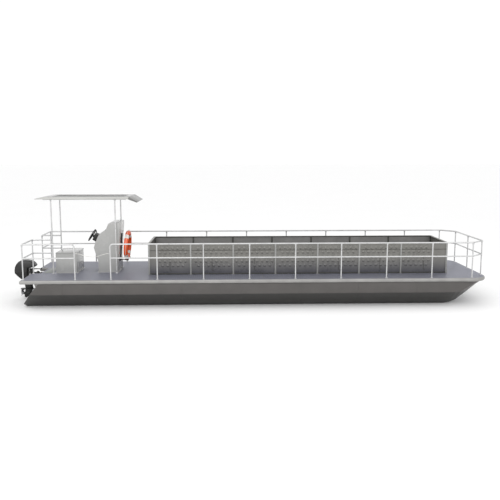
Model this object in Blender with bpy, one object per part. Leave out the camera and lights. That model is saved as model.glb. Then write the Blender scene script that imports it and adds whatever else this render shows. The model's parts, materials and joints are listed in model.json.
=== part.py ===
"""Twin pontoon work boat with a long open bin for floating rubbish.

Metres, +X to the bow, +Y to port, +Z up. The boat stands on its two flat keels at z = 0.
Lengths along the boat are given as stations, measured forward from the deck's stern edge.
"""
import math

import bmesh
import bpy
from mathutils import Matrix, Vector

# Driving dimensions
DECK_LENGTH = 11.925
DECK_BEAM = 2.94
DECK_Z = 0.75
MOTOR_OVERHANG = 0.534
GAP = 0.0003
SIDES = {"starboard": -1.0, "port": 1.0}

STERN_X = -(DECK_LENGTH + MOTOR_OVERHANG) / 2 + MOTOR_OVERHANG

# Deck
EDGE_BULGE = 0.030
EDGE_HEIGHT = 0.095
PLATE_THICKNESS = 0.012
PLATE_HALF_BEAM = DECK_BEAM / 2 - EDGE_BULGE
BOW_CORNER_RADIUS = 0.42
NOTCH_DEPTH = 0.26
NOTCH_HALF_WIDTH = 0.42
FRAME_BOTTOM_Z = DECK_Z - EDGE_HEIGHT
FRAME_TOP_Z = DECK_Z - PLATE_THICKNESS - GAP

# Hulls
HULL_TOP_Z = FRAME_BOTTOM_Z - GAP
HULL_OUTER_Y = 1.430
HULL_INNER_Y = 0.550
CHINE_Z = 0.374
KEEL_OUTER_Y = 1.000
KEEL_INNER_Y = 0.720
STERN_TOP_STATION = 0.456
STERN_SLOPE = 0.84
STERN_BEVEL_Z = 0.070
STERN_BEVEL_LEAD = 0.114

# Rails
RAIL_RADIUS = 0.019
MID_RAIL_RADIUS = 0.0175
POST_RADIUS = 0.0165
RAIL_HALF_BEAM = 1.354
RAIL_TOP_Z = DECK_Z + 0.900
RAIL_MID_Z = DECK_Z + 0.548
RAIL_STERN = 0.075
RAIL_BEND = 0.080
GATE_AFT = 1.369
GATE_FORE = 2.264
POST_SPACING = 1.168
SIDE_POSTS = 8
RAIL_SPLICE_POST = 4
RAIL_SPLICE = 0.030
RAIL_BOW_CORNER = 11.485
RAIL_BOW = 11.848
RAIL_BOW_HALF = 1.000
NOTCH_RAIL_Y = 0.460

# Gate ropes
ROPE_RADIUS = 0.006
ROPE_SAG = 0.085
ROPE_Z = DECK_Z + 0.665
EYE_LENGTH = 0.022
EYE_RADIUS = 0.008

# Bin
BIN_POSTS = (3.155, 4.243, 5.360, 6.470, 7.585, 8.690, 9.800, 11.020)
BIN_HALF_WIDTH = 0.705
BIN_HEIGHT = 0.825
BIN_WALL = 0.008
BIN_POST_SIZE = 0.044
BIN_FLOOR = 0.010

# Canopy
CANOPY_POST_RADIUS = 0.017
CANOPY_POST_Y = 0.460
CANOPY_AFT = 0.602
CANOPY_FORE = 2.265
CANOPY_HALF_WIDTH = 0.550
ROOF_BOTTOM_Z = DECK_Z + 1.968
ROOF_TOP_Z = DECK_Z + 2.028

# Seat locker
SEAT_AFT = 0.663
SEAT_FORE = 1.210
SEAT_HALF_WIDTH = 0.430
SEAT_HEIGHT = 0.553
SEAT_WALL = 0.020
LID_THICKNESS = 0.030
LID_ANGLE_GAP = 0.0003

# Console and helm
CONSOLE_HALF_WIDTH = 0.350
DASH_LOW = (1.690, 0.783)
DASH_HIGH = (1.775, 0.976)
HELM_DEPTH = 0.130
HELM_HEIGHT = 0.190
HELM_HALF_WIDTH = 0.140
WHEEL_RADIUS = 0.185
WHEEL_RIM = 0.013
WHEEL_STATION = 1.552
WHEEL_Z = DECK_Z + 0.965
WHEEL_TILT = math.radians(32.0)

# Life ring
RING_STATION = 2.500
RING_Z = DECK_Z + 0.685
RING_RADIUS = 0.345
RING_TUBE = 0.055
RING_LEAN = math.radians(4.0)

# Outboard motor
TRANSOM_AFT = 0.055
TRANSOM_FORE = 0.095
TRANSOM_HALF = 0.330
TRANSOM_LOW_Z = 0.270
TRANSOM_TOP_Z = 0.620
TILT_STATION = 0.025
TILT_Z = 0.690
STEER_STATION = -0.085
STEER_ARM_LOW_Z = 0.787
STEER_ARM_TOP_Z = 0.807
HUB_Z = 0.130
PLATE_Z = 0.246
PROPELLER_RADIUS = 0.108
PROPELLER_STATION = -0.385

# Finishes: name, sRGB colour from 0 to 255, roughness, metallic
FINISHES = {
    "hull paint": ((80, 77, 74), 0.45, 0.0),
    "bare aluminium": ((165, 164, 160), 0.45, 0.8),
    "chequer plate": ((133, 134, 147), 0.50, 0.4),
    "rail tube": ((205, 205, 205), 0.30, 0.8),
    "grey panel": ((165, 165, 162), 0.35, 0.1),
    "bin sheet": ((110, 108, 104), 0.50, 0.5),
    "roof sheet": ((190, 190, 186), 0.35, 0.1),
    "black casting": ((25, 25, 22), 0.35, 0.1),
    "black plastic": ((22, 22, 22), 0.45, 0.0),
    "orange shell": ((225, 85, 30), 0.45, 0.0),
    "white rope": ((225, 224, 218), 0.80, 0.0),
}


def station(distance):
    """Return the X of a station measured forward from the deck's stern edge."""
    return STERN_X + distance


def linear(value):
    """Turn one sRGB value from 0 to 255 into a linear one from 0 to 1."""
    share = value / 255
    if share <= 0.04045:
        return share / 12.92
    return ((share + 0.055) / 1.055) ** 2.4


def clear_scene():
    """Remove every object of the open scene."""
    for item in list(bpy.data.objects):
        bpy.data.objects.remove(item, do_unlink=True)


def finish(item, name):
    """Give an object its own Principled material."""
    colour, roughness, metallic = FINISHES[name]
    material = bpy.data.materials.new(item.name + " " + name)
    material.use_nodes = True
    shader = material.node_tree.nodes["Principled BSDF"]
    rgb = [linear(value) for value in colour]
    shader.inputs["Base Color"].default_value = (*rgb, 1.0)
    shader.inputs["Roughness"].default_value = roughness
    shader.inputs["Metallic"].default_value = metallic
    item.data.materials.clear()
    item.data.materials.append(material)


def link(name, mesh):
    """Make an object of a mesh and put it in the scene."""
    item = bpy.data.objects.new(name, mesh)
    bpy.context.scene.collection.objects.link(item)
    return item


def from_bmesh(name, shape):
    """Turn a bmesh into an object with its faces pointing out."""
    bmesh.ops.recalc_face_normals(shape, faces=shape.faces)
    mesh = bpy.data.meshes.new(name)
    shape.to_mesh(mesh)
    shape.free()
    return link(name, mesh)


def box(name, low, high):
    """Return a box between two corners."""
    shape = bmesh.new()
    bmesh.ops.create_cube(shape, size=1.0)
    size = [high[i] - low[i] for i in range(3)]
    middle = [(high[i] + low[i]) / 2 for i in range(3)]
    bmesh.ops.scale(shape, vec=size, verts=shape.verts)
    bmesh.ops.translate(shape, vec=middle, verts=shape.verts)
    return from_bmesh(name, shape)


def prism(name, outline, axis, low, high):
    """Extrude an outline from low to high along axis Y or Z.

    The outline holds (x, z) pairs for axis Y and (x, y) pairs for axis Z.
    """
    shape = bmesh.new()
    if axis == "Y":
        verts = [shape.verts.new((x, low, z)) for x, z in outline]
        step = Vector((0, high - low, 0))
    else:
        verts = [shape.verts.new((x, y, low)) for x, y in outline]
        step = Vector((0, 0, high - low))
    face = shape.faces.new(verts)
    grown = bmesh.ops.extrude_face_region(shape, geom=[face])
    moved = [part for part in grown["geom"] if isinstance(part, bmesh.types.BMVert)]
    bmesh.ops.translate(shape, vec=step, verts=moved)
    return from_bmesh(name, shape)


def rod(name, start, end, radius, sides=10, tip=None):
    """Return a cylinder, or a cone with a tip radius, between two points."""
    start = Vector(start)
    end = Vector(end)
    along = end - start
    turn = along.to_track_quat("Z", "Y").to_matrix().to_4x4()
    shape = bmesh.new()
    bmesh.ops.create_cone(
        shape,
        cap_ends=True,
        segments=sides,
        radius1=radius,
        radius2=radius if tip is None else tip,
        depth=along.length,
        matrix=Matrix.Translation((start + end) / 2) @ turn,
    )
    return from_bmesh(name, shape)


def pipe(name, points, radius):
    """Return a tube along a path of points, with closed ends."""
    curve = bpy.data.curves.new(name, "CURVE")
    curve.dimensions = "3D"
    curve.bevel_depth = radius
    curve.bevel_resolution = 2
    curve.use_fill_caps = True
    spline = curve.splines.new("POLY")
    spline.points.add(len(points) - 1)
    for knot, point in zip(spline.points, points):
        knot.co = (*point, 1.0)
    guide = link(name + " guide", curve)
    view = bpy.context.evaluated_depsgraph_get()
    mesh = bpy.data.meshes.new_from_object(guide.evaluated_get(view))
    bpy.data.objects.remove(guide)
    return link(name, mesh)


def combine(name, pieces, operation):
    """Join the other pieces to the first, or cut them from it, into one closed body."""
    base = pieces[0]
    group = bpy.data.collections.new(name + " group")
    for piece in pieces[1:]:
        group.objects.link(piece)
    step = base.modifiers.new("combine", "BOOLEAN")
    step.operation = operation
    step.operand_type = "COLLECTION"
    step.collection = group
    step.solver = "EXACT"
    view = bpy.context.evaluated_depsgraph_get()
    mesh = bpy.data.meshes.new_from_object(base.evaluated_get(view))
    bpy.data.collections.remove(group)
    for piece in pieces:
        bpy.data.objects.remove(piece)
    mesh.name = name
    return link(name, mesh)


def fuse(name, pieces):
    """Join overlapping pieces into one closed body."""
    return combine(name, pieces, "UNION")


def cut(name, body, cutters):
    """Cut pieces out of a body."""
    return combine(name, [body] + cutters, "DIFFERENCE")


def set_origin(item, point):
    """Move an object's origin to a point without moving its shape."""
    point = Vector(point)
    item.data.transform(Matrix.Translation(-point))
    item.location = point
    return item


def smooth(item, angle=35.0):
    """Shade a round piece smooth, with its hard edges kept sharp."""
    item.data.shade_smooth()
    item.data.set_sharp_from_angle(angle=math.radians(angle))
    return item


def arc(centre, radius, start, end, steps):
    """Return points of an arc in a plane, from start to end in degrees."""
    points = []
    for index in range(steps + 1):
        angle = math.radians(start + (end - start) * index / steps)
        points.append((centre[0] + radius * math.cos(angle), centre[1] + radius * math.sin(angle)))
    return points


def deck_outline():
    """Return the deck plate's outline, counterclockwise from the notch's starboard corner."""
    half = PLATE_HALF_BEAM
    radius = BOW_CORNER_RADIUS
    stern = station(EDGE_BULGE)
    notch = station(NOTCH_DEPTH)
    bow = station(DECK_LENGTH - EDGE_BULGE)
    points = [(stern, -NOTCH_HALF_WIDTH), (stern, -half)]
    points += arc((bow - radius, -half + radius), radius, -90, 0, 6)
    points += arc((bow - radius, half - radius), radius, 0, 90, 6)
    points += [(stern, half), (stern, NOTCH_HALF_WIDTH)]
    points += [(notch, NOTCH_HALF_WIDTH), (notch, -NOTCH_HALF_WIDTH)]
    return points


def offset(outline, distance):
    """Move a counterclockwise outline outwards with mitred corners."""
    moved = []
    for index, point in enumerate(outline):
        before = Vector(outline[index - 1])
        here = Vector(point)
        after = Vector(outline[(index + 1) % len(outline)])
        first = (here - before).normalized()
        second = (after - here).normalized()
        normal_a = Vector((first.y, -first.x))
        normal_b = Vector((second.y, -second.x))
        mitre = (normal_a + normal_b) / (1 + normal_a.dot(normal_b))
        moved.append(here + mitre * distance)
    return moved


def make_deck_plate():
    """Make the chequered deck: one long sheet, and a short sheet each side of the stern notch."""
    low = DECK_Z - PLATE_THICKNESS
    notch = station(NOTCH_DEPTH)
    outline = [point for point in deck_outline() if point[0] > notch + 0.001]
    outline += [(notch, PLATE_HALF_BEAM), (notch, -PLATE_HALF_BEAM)]
    finish(prism("deck_plate", outline, "Z", low, DECK_Z), "chequer plate")
    for name, side in SIDES.items():
        across = sorted((side * NOTCH_HALF_WIDTH, side * PLATE_HALF_BEAM))
        start = (station(EDGE_BULGE), across[0], low)
        end = (notch - GAP, across[1], DECK_Z)
        finish(box("deck_plate_stern_" + name, start, end), "chequer plate")


def edge_length(name, first, last):
    """Make one length of the half-round band between two corners of the deck's outline."""
    middle = DECK_Z - EDGE_HEIGHT / 2
    # Columns: outward distance from the plate's edge, height
    profile = [(GAP, DECK_Z), (GAP, DECK_Z - EDGE_HEIGHT)]
    for out, up in arc((0.0, 0.0), 1.0, -75, 75, 6):
        profile.append((EDGE_BULGE * out, middle + EDGE_HEIGHT / 2 * up))
    outline = deck_outline()
    count = len(outline)
    corners = [(first + step) % count for step in range((last - first) % count + 1)]
    shape = bmesh.new()
    rows = []
    for distance, height in profile:
        moved = offset(outline, distance)
        path = [moved[corner] for corner in corners]
        # Each end stops short of its mitre, so that neighbours don't touch.
        start = path[0] + (path[1] - path[0]).normalized() * GAP
        end = path[-1] + (path[-2] - path[-1]).normalized() * GAP
        path = [start] + path[1:-1] + [end]
        rows.append([shape.verts.new((point.x, point.y, height)) for point in path])
    for row, line in enumerate(rows):
        after = rows[(row + 1) % len(rows)]
        for index in range(len(corners) - 1):
            shape.faces.new((line[index], line[index + 1], after[index + 1], after[index]))
    shape.faces.new([line[0] for line in rows])
    shape.faces.new([line[-1] for line in rows])
    finish(smooth(from_bmesh(name, shape)), "bare aluminium")


def make_deck_edge():
    """Make the half-round band round the deck, in lengths that are mitred at the corners."""
    # Columns: name, first and last corner of the outline
    lengths = [
        ("deck_edge_stern_starboard", 0, 1),
        ("deck_edge_starboard", 1, 2),
        ("deck_edge_bow", 2, 15),
        ("deck_edge_port", 15, 16),
        ("deck_edge_stern_port", 16, 17),
        ("deck_edge_notch_port", 17, 18),
        ("deck_edge_notch_fore", 18, 19),
        ("deck_edge_notch_starboard", 19, 0),
    ]
    for name, first, last in lengths:
        edge_length(name, first, last)


def make_deck_frame():
    """Make the beams between the hulls and the deck plate: a long grid and two stern frames."""
    rise = 0.010
    low = FRAME_BOTTOM_Z
    high = FRAME_TOP_Z
    # Columns: first station, last station, lower Y, upper Y
    stringers = [
        (0.330, 11.500, 1.355, 1.425),
        (0.330, 11.865, 0.560, 0.630),
        (0.330, 11.865, -0.630, -0.560),
        (0.330, 11.500, -1.425, -1.355),
    ]
    pieces = []
    for first, last, lower, upper in stringers:
        pieces.append(box("beam", (station(first), lower, low), (station(last), upper, high)))
    # Columns: station, half length, rise of the lower face
    cross_beams = [(0.300, 0.560 - GAP, 0.0), (0.350, 1.400, rise)]
    cross_beams += [(1.320 + 1.200 * index, 1.400, rise) for index in range(9)]
    cross_beams += [(11.780, 0.900, rise)]
    for middle, half, lift in cross_beams:
        start = (station(middle - 0.030), -half, low + lift)
        end = (station(middle + 0.030), half, high - rise)
        pieces.append(box("beam", start, end))
    finish(fuse("deck_frame", pieces), "bare aluminium")
    for name, side in SIDES.items():
        pieces = []
        for inner, outer in ((0.560, 0.630), (1.355, 1.425)):
            ends = sorted((side * inner, side * outer))
            start = (station(0.040), ends[0], low)
            end = (station(0.320) - GAP, ends[1], high)
            pieces.append(box("beam", start, end))
        ends = sorted((side * 0.600, side * 1.400))
        start = (station(0.050), ends[0], low + rise)
        end = (station(0.110), ends[1], high - rise)
        pieces.append(box("beam", start, end))
        finish(fuse("deck_frame_stern_" + name, pieces), "bare aluminium")


def hull_section(row, side):
    """Return one hull section's corners, from the outer top edge round the keel to the inner one."""
    distance, sloped, keel_z, chine_z, outer, keel_outer, keel_inner, inner = row
    corners = [
        (outer, HULL_TOP_Z),
        (outer, chine_z),
        (keel_outer, keel_z),
        (keel_inner, keel_z),
        (inner, chine_z),
        (inner, HULL_TOP_Z),
    ]
    points = []
    for y, z in corners:
        back = (HULL_TOP_Z - z) * STERN_SLOPE if sloped else 0.0
        points.append((station(distance - back), side * y, z))
    return points


def make_hull(name, side):
    """Make one pontoon by bridging its sections, with a sloped stern and a raked bow."""
    # The transom ends a little above the keel, where a short bevel leads under the hull.
    share = STERN_BEVEL_Z / CHINE_Z
    bevel_outer = KEEL_OUTER_Y + (HULL_OUTER_Y - KEEL_OUTER_Y) * share
    bevel_inner = KEEL_INNER_Y + (HULL_INNER_Y - KEEL_INNER_Y) * share
    top = STERN_TOP_STATION
    lead = top + STERN_BEVEL_LEAD
    # Columns: top station, sloped, keel z, chine z, outer y, keel outer y, keel inner y, inner y
    rows = [
        (top, True, STERN_BEVEL_Z, CHINE_Z, HULL_OUTER_Y, bevel_outer, bevel_inner, HULL_INNER_Y),
        (lead, True, 0.000, CHINE_Z, HULL_OUTER_Y, KEEL_OUTER_Y, KEEL_INNER_Y, HULL_INNER_Y),
        (10.900, False, 0.000, CHINE_Z, HULL_OUTER_Y, KEEL_OUTER_Y, KEEL_INNER_Y, HULL_INNER_Y),
        (11.050, False, 0.028, CHINE_Z, HULL_OUTER_Y, KEEL_OUTER_Y, KEEL_INNER_Y, HULL_INNER_Y),
        (11.190, False, 0.092, 0.400, 1.420, 1.020, 0.720, 0.560),
        (11.360, False, 0.231, 0.480, 1.390, 1.040, 0.730, 0.580),
        (11.550, False, 0.387, 0.560, 1.310, 1.050, 0.750, 0.620),
        (11.720, False, 0.526, 0.610, 1.190, 1.050, 0.780, 0.680),
        (11.840, False, 0.600, 0.625, 1.120, 1.040, 0.800, 0.720),
    ]
    shape = bmesh.new()
    rings = [[shape.verts.new(point) for point in hull_section(row, side)] for row in rows]
    count = len(rings[0])
    for ring, after in zip(rings, rings[1:]):
        for index in range(count):
            right = (index + 1) % count
            shape.faces.new((ring[index], ring[right], after[right], after[index]))
    shape.faces.new(rings[0])
    shape.faces.new(rings[-1])
    hull = from_bmesh(name, shape)
    finish(hull, "hull paint")


def make_stern_plate():
    """Make the plain plate on the deck ahead of the notch."""
    low = (station(0.320), -0.400, DECK_Z + GAP)
    high = (station(0.560), 0.400, DECK_Z + 0.005)
    finish(box("stern_plate", low, high), "bare aluminium")


def tube_post(x, y, top_z, radius=POST_RADIUS):
    """Return one upright rail post that stands on the deck."""
    return rod("post", (x, y, DECK_Z + GAP), (x, y, top_z), radius, 8)


def bar(start, end, z):
    """Return one level rail bar between two (x, y) points."""
    radius = RAIL_RADIUS if z == RAIL_TOP_Z else MID_RAIL_RADIUS
    return rod("bar", (*start, z), (*end, z), radius, 8)


def hooped_bar(post_x, far_x, y):
    """Return a top bar that bends down at one end into its own post."""
    way = math.copysign(1.0, far_x - post_x)
    centre_x = post_x + way * RAIL_BEND
    centre_z = RAIL_TOP_Z - RAIL_BEND
    points = [(post_x, y, DECK_Z + GAP)]
    for across, up in arc((0.0, 0.0), RAIL_BEND, 0, 90, 5):
        points.append((centre_x - way * across, y, centre_z + up))
    points.append((far_x, y, RAIL_TOP_Z))
    return pipe("hoop", points, RAIL_RADIUS)


def gate_eye(post_x, way, y):
    """Return the small eye on a gate post that the rope ends on."""
    start = (post_x, y, ROPE_Z)
    end = (post_x + way * (RAIL_RADIUS + EYE_LENGTH), y, ROPE_Z)
    return rod("eye", start, end, EYE_RADIUS)


def make_side_rail(name, side):
    """Make the long side rail in two lengths, spliced just ahead of a post."""
    y = side * RAIL_HALF_BEAM
    gate = station(GATE_FORE)
    corner = station(RAIL_BOW_CORNER)
    splice = gate + POST_SPACING * RAIL_SPLICE_POST + RAIL_SPLICE
    top_z = RAIL_TOP_Z + RAIL_RADIUS * 0.4
    pieces = [hooped_bar(gate, splice, y), bar((gate, y), (splice, y), RAIL_MID_Z)]
    for index in range(1, RAIL_SPLICE_POST + 1):
        pieces.append(tube_post(gate + POST_SPACING * index, y, top_z))
    pieces.append(gate_eye(gate, -1.0, y))
    finish(smooth(fuse("rail_side_aft_" + name, pieces)), "rail tube")
    pieces = [bar((splice + GAP, y), (corner, y), z) for z in (RAIL_TOP_Z, RAIL_MID_Z)]
    for index in range(RAIL_SPLICE_POST + 1, SIDE_POSTS):
        pieces.append(tube_post(gate + POST_SPACING * index, y, top_z))
    pieces.append(tube_post(corner, y, RAIL_TOP_Z + RAIL_RADIUS * 0.5))
    finish(smooth(fuse("rail_side_fore_" + name, pieces)), "rail tube")


def make_quarter_rail(name, side):
    """Make the short side rail from the stern corner to the gate."""
    y = side * RAIL_HALF_BEAM
    gate = station(GATE_AFT)
    corner = station(RAIL_STERN)
    pieces = [hooped_bar(gate, corner, y), bar((gate, y), (corner, y), RAIL_MID_Z)]
    pieces.append(tube_post(corner, y, RAIL_TOP_Z + RAIL_RADIUS * 0.5))
    pieces.append(gate_eye(gate, 1.0, y))
    rail = smooth(fuse(name, pieces))
    finish(rail, "rail tube")


def make_stern_rail(name, side):
    """Make the rail across the stern that turns forward along the notch."""
    corner = station(RAIL_STERN)
    outer = side * (RAIL_HALF_BEAM - RAIL_RADIUS - GAP)
    inner = side * NOTCH_RAIL_Y
    fore = station(CANOPY_AFT) - CANOPY_POST_RADIUS - GAP
    pieces = [tube_post(corner, inner, RAIL_TOP_Z + RAIL_RADIUS * 0.5)]
    for z in (RAIL_TOP_Z, RAIL_MID_Z):
        pieces.append(bar((corner, outer), (corner, inner), z))
        pieces.append(bar((corner, inner), (fore, inner), z))
    rail = smooth(fuse(name, pieces))
    finish(rail, "rail tube")


def make_bow_rail():
    """Make the bow rail with its two cut-off corners and three posts."""
    fore = station(RAIL_BOW)
    corner = station(RAIL_BOW_CORNER)
    lean = Vector((RAIL_BOW - RAIL_BOW_CORNER, RAIL_HALF_BEAM - RAIL_BOW_HALF)).normalized()
    start = lean * (RAIL_RADIUS + GAP * 4)
    pieces = []
    for y in (-RAIL_BOW_HALF, 0.0, RAIL_BOW_HALF):
        pieces.append(tube_post(fore, y, RAIL_TOP_Z + RAIL_RADIUS * 0.5))
    for z in (RAIL_TOP_Z, RAIL_MID_Z):
        pieces.append(bar((fore, -RAIL_BOW_HALF), (fore, RAIL_BOW_HALF), z))
        for side in SIDES.values():
            edge = (corner + start.x, side * (RAIL_HALF_BEAM - start.y))
            pieces.append(bar(edge, (fore, side * RAIL_BOW_HALF), z))
    rail = smooth(fuse("rail_bow", pieces))
    finish(rail, "rail tube")


def make_gate_rope(name, side):
    """Make the thin rope that hangs across one boarding gap."""
    reach = RAIL_RADIUS + EYE_LENGTH + GAP
    first = station(GATE_AFT) + reach
    last = station(GATE_FORE) - reach
    steps = 36
    points = []
    for index in range(steps + 1):
        share = index / steps
        hanging = min(max((index - 1) / (steps - 2), 0.0), 1.0)
        drop = ROPE_SAG * math.sin(math.pi * hanging) ** 1.4
        points.append((first + (last - first) * share, side * RAIL_HALF_BEAM, ROPE_Z - drop))
    rope = smooth(pipe(name, points, ROPE_RADIUS), 60.0)
    finish(rope, "white rope")


def make_bin():
    """Make the long bin: floor, two side walls with posts, two end walls."""
    base = DECK_Z + GAP
    aft = station(BIN_POSTS[0])
    fore = station(BIN_POSTS[-1])
    half = BIN_HALF_WIDTH
    top = DECK_Z + BIN_HEIGHT
    post = BIN_POST_SIZE / 2
    floor_half = half - post - GAP
    reach = post + GAP
    plate = box("bin_floor", (aft + reach, -floor_half, base), (fore - reach, floor_half, base + BIN_FLOOR))
    finish(plate, "bin sheet")
    for name, side in SIDES.items():
        y = side * half
        pieces = [box("wall", (aft, y - BIN_WALL / 2, base), (fore, y + BIN_WALL / 2, top - 0.010))]
        for distance in BIN_POSTS:
            x = station(distance)
            pieces.append(box("post", (x - post, y - post, base), (x + post, y + post, top - 0.006)))
        rim = post + 0.006
        pieces.append(box("rim", (aft - rim, y - rim, top - 0.022), (fore + rim, y + rim, top)))
        rib = post - 0.006
        pieces.append(box("rib", (aft, y - rib, top - 0.190), (fore, y + rib, top - 0.165)))
        pieces.append(box("sill", (aft, y - rib, base + 0.004), (fore, y + rib, base + 0.040)))
        finish(fuse("bin_side_" + name, pieces), "bin sheet")
    inside = half - post - 0.006 - GAP
    for name, x in (("aft", aft), ("fore", fore)):
        pieces = [box("wall", (x - BIN_WALL / 2, -inside, base), (x + BIN_WALL / 2, inside, top - 0.010))]
        rim = post + 0.006
        pieces.append(box("rim", (x - rim, -inside, top - 0.022), (x + rim, inside, top)))
        pieces.append(box("post", (x - post, -post, base), (x + post, post, top - 0.012)))
        finish(fuse("bin_end_" + name, pieces), "bin sheet")


def make_canopy():
    """Make the four canopy posts with feet and the roof with its aft droop and front visor."""
    for end, along in (("aft", CANOPY_AFT), ("fore", CANOPY_FORE)):
        for name, side in SIDES.items():
            x = station(along)
            y = side * CANOPY_POST_Y
            foot = rod("foot", (x, y, DECK_Z + GAP), (x, y, DECK_Z + 0.010), 0.040, 16)
            pole = rod("pole", (x, y, DECK_Z + 0.004), (x, y, ROOF_BOTTOM_Z - GAP), CANOPY_POST_RADIUS, 12)
            post = smooth(fuse("canopy_post_" + end + "_" + name, [foot, pole]))
            finish(post, "rail tube")
    # Columns: station, height above the roof's flat underside
    profile = [
        (0.200, 0.000),
        (2.610, 0.000),
        (2.850, -0.090),
        (2.872, -0.072),
        (2.660, 0.058),
        (2.640, 0.060),
        (0.470, 0.060),
        (0.340, 0.044),
        (0.200, 0.010),
    ]
    outline = [(station(along), ROOF_BOTTOM_Z + up) for along, up in profile]
    roof = prism("canopy_roof", outline, "Y", -CANOPY_HALF_WIDTH, CANOPY_HALF_WIDTH)
    finish(roof, "roof sheet")


def make_seat():
    """Make the hollow seat locker and its lid, hinged along the aft edge."""
    aft = station(SEAT_AFT)
    fore = station(SEAT_FORE)
    half = SEAT_HALF_WIDTH
    base = DECK_Z + GAP
    rim_z = DECK_Z + SEAT_HEIGHT - LID_THICKNESS - GAP
    shell = box("shell", (aft, -half, base), (fore, half, rim_z))
    inner_low = (aft + SEAT_WALL, -half + SEAT_WALL, base + SEAT_WALL)
    inner_high = (fore - SEAT_WALL, half - SEAT_WALL, rim_z + 0.1)
    locker = cut("seat_locker", shell, [box("room", inner_low, inner_high)])
    finish(locker, "grey panel")
    lid_low = (aft, -half - 0.008, rim_z + GAP)
    lid_high = (fore + 0.010, half + 0.008, rim_z + GAP + LID_THICKNESS)
    lid = box("seat_lid", lid_low, lid_high)
    set_origin(lid, (aft, 0.0, rim_z + GAP))
    finish(lid, "grey panel")


def make_console():
    """Make the steering console by extruding its side profile."""
    # Columns: station, height above the deck
    profile = [
        (1.760, GAP),
        (2.275, GAP),
        (2.370, 1.330),
        (2.360, 1.340),
        (2.115, 1.340),
        (2.055, 1.305),
        (2.015, 1.220),
        (1.985, 1.140),
        (1.905, 1.095),
        (1.815, 1.030),
        DASH_HIGH,
        DASH_LOW,
        (1.654, 0.665),
        (1.704, 0.489),
        (1.763, 0.285),
    ]
    outline = [(station(along), DECK_Z + up) for along, up in profile]
    console = prism("console", outline, "Y", -CONSOLE_HALF_WIDTH, CONSOLE_HALF_WIDTH)
    finish(smooth(console, 32.0), "grey panel")


def wheel_axis():
    """Return the steering wheel's axis, pointing aft and up at the helmsman."""
    return Vector((-math.cos(WHEEL_TILT), 0.0, math.sin(WHEEL_TILT)))


def make_helm():
    """Make the helm box on the dash, the steering wheel and the throttle lever."""
    low = Vector((station(DASH_LOW[0]), 0.0, DECK_Z + DASH_LOW[1]))
    high = Vector((station(DASH_HIGH[0]), 0.0, DECK_Z + DASH_HIGH[1]))
    up = (high - low).normalized()
    out = Vector((-up.z, 0.0, up.x))
    middle = (low + high) / 2
    rise = up * HELM_HEIGHT / 2
    corners = [
        middle - rise + out * GAP,
        middle + rise + out * GAP,
        middle + rise + out * HELM_DEPTH,
        middle - rise * 0.9 + out * HELM_DEPTH,
    ]
    outline = [(corner.x, corner.z) for corner in corners]
    case = prism("case", outline, "Y", -HELM_HALF_WIDTH, HELM_HALF_WIDTH)
    axis = wheel_axis()
    centre = Vector((station(WHEEL_STATION), 0.0, WHEEL_Z))
    column = rod("column", centre - axis * 0.110, centre - axis * (0.016 + GAP), 0.022, 12)
    helm = fuse("helm_box", [case, column])
    finish(helm, "black plastic")

    turn = axis.to_track_quat("Z", "Y").to_matrix().to_4x4()
    rim = ring_mesh("rim", WHEEL_RADIUS - WHEEL_RIM, WHEEL_RIM, 28, 8)
    rim.data.transform(turn)
    rim.data.transform(Matrix.Translation(centre))
    pieces = [rim, rod("hub", centre - axis * 0.016, centre + axis * 0.016, 0.034, 14)]
    for angle in (90, 210, 330):
        spread = Vector((math.cos(math.radians(angle)), math.sin(math.radians(angle)), 0.0))
        tip = centre + turn.to_3x3() @ spread * (WHEEL_RADIUS - WHEEL_RIM)
        pieces.append(rod("spoke", centre, tip, 0.008, 8))
    wheel = smooth(fuse("steering_wheel", pieces))
    set_origin(wheel, centre)
    finish(wheel, "black plastic")

    side = HELM_HALF_WIDTH + GAP
    root = middle + out * 0.075 + Vector((0.0, side, 0.0))
    boss = rod("boss", root, root + Vector((0.0, 0.045, 0.0)), 0.030, 14)
    grip_foot = root + Vector((0.0, 0.032, 0.0))
    grip = rod("grip", grip_foot, grip_foot + Vector((-0.035, 0.0, 0.140)), 0.011, 8)
    knob_low = grip_foot + Vector((-0.030, 0.0, 0.120))
    knob_high = grip_foot + Vector((-0.040, 0.0, 0.160))
    knob = rod("knob", knob_low, knob_high, 0.019, 10)
    lever = smooth(fuse("throttle_lever", [boss, grip, knob]))
    finish(lever, "black plastic")


def ring_mesh(name, radius, thickness, around, sides):
    """Return a ring of round section about the Z axis at the origin."""
    shape = bmesh.new()
    loops = []
    for step in range(around):
        angle = 2 * math.pi * step / around
        loop = []
        for corner in range(sides):
            turn = 2 * math.pi * corner / sides
            reach = radius + thickness * math.cos(turn)
            point = (reach * math.cos(angle), reach * math.sin(angle), thickness * math.sin(turn))
            loop.append(shape.verts.new(point))
        loops.append(loop)
    for step in range(around):
        loop = loops[step]
        after = loops[(step + 1) % around]
        for corner in range(sides):
            right = (corner + 1) % sides
            shape.faces.new((loop[corner], after[corner], after[right], loop[right]))
    return from_bmesh(name, shape)


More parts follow.
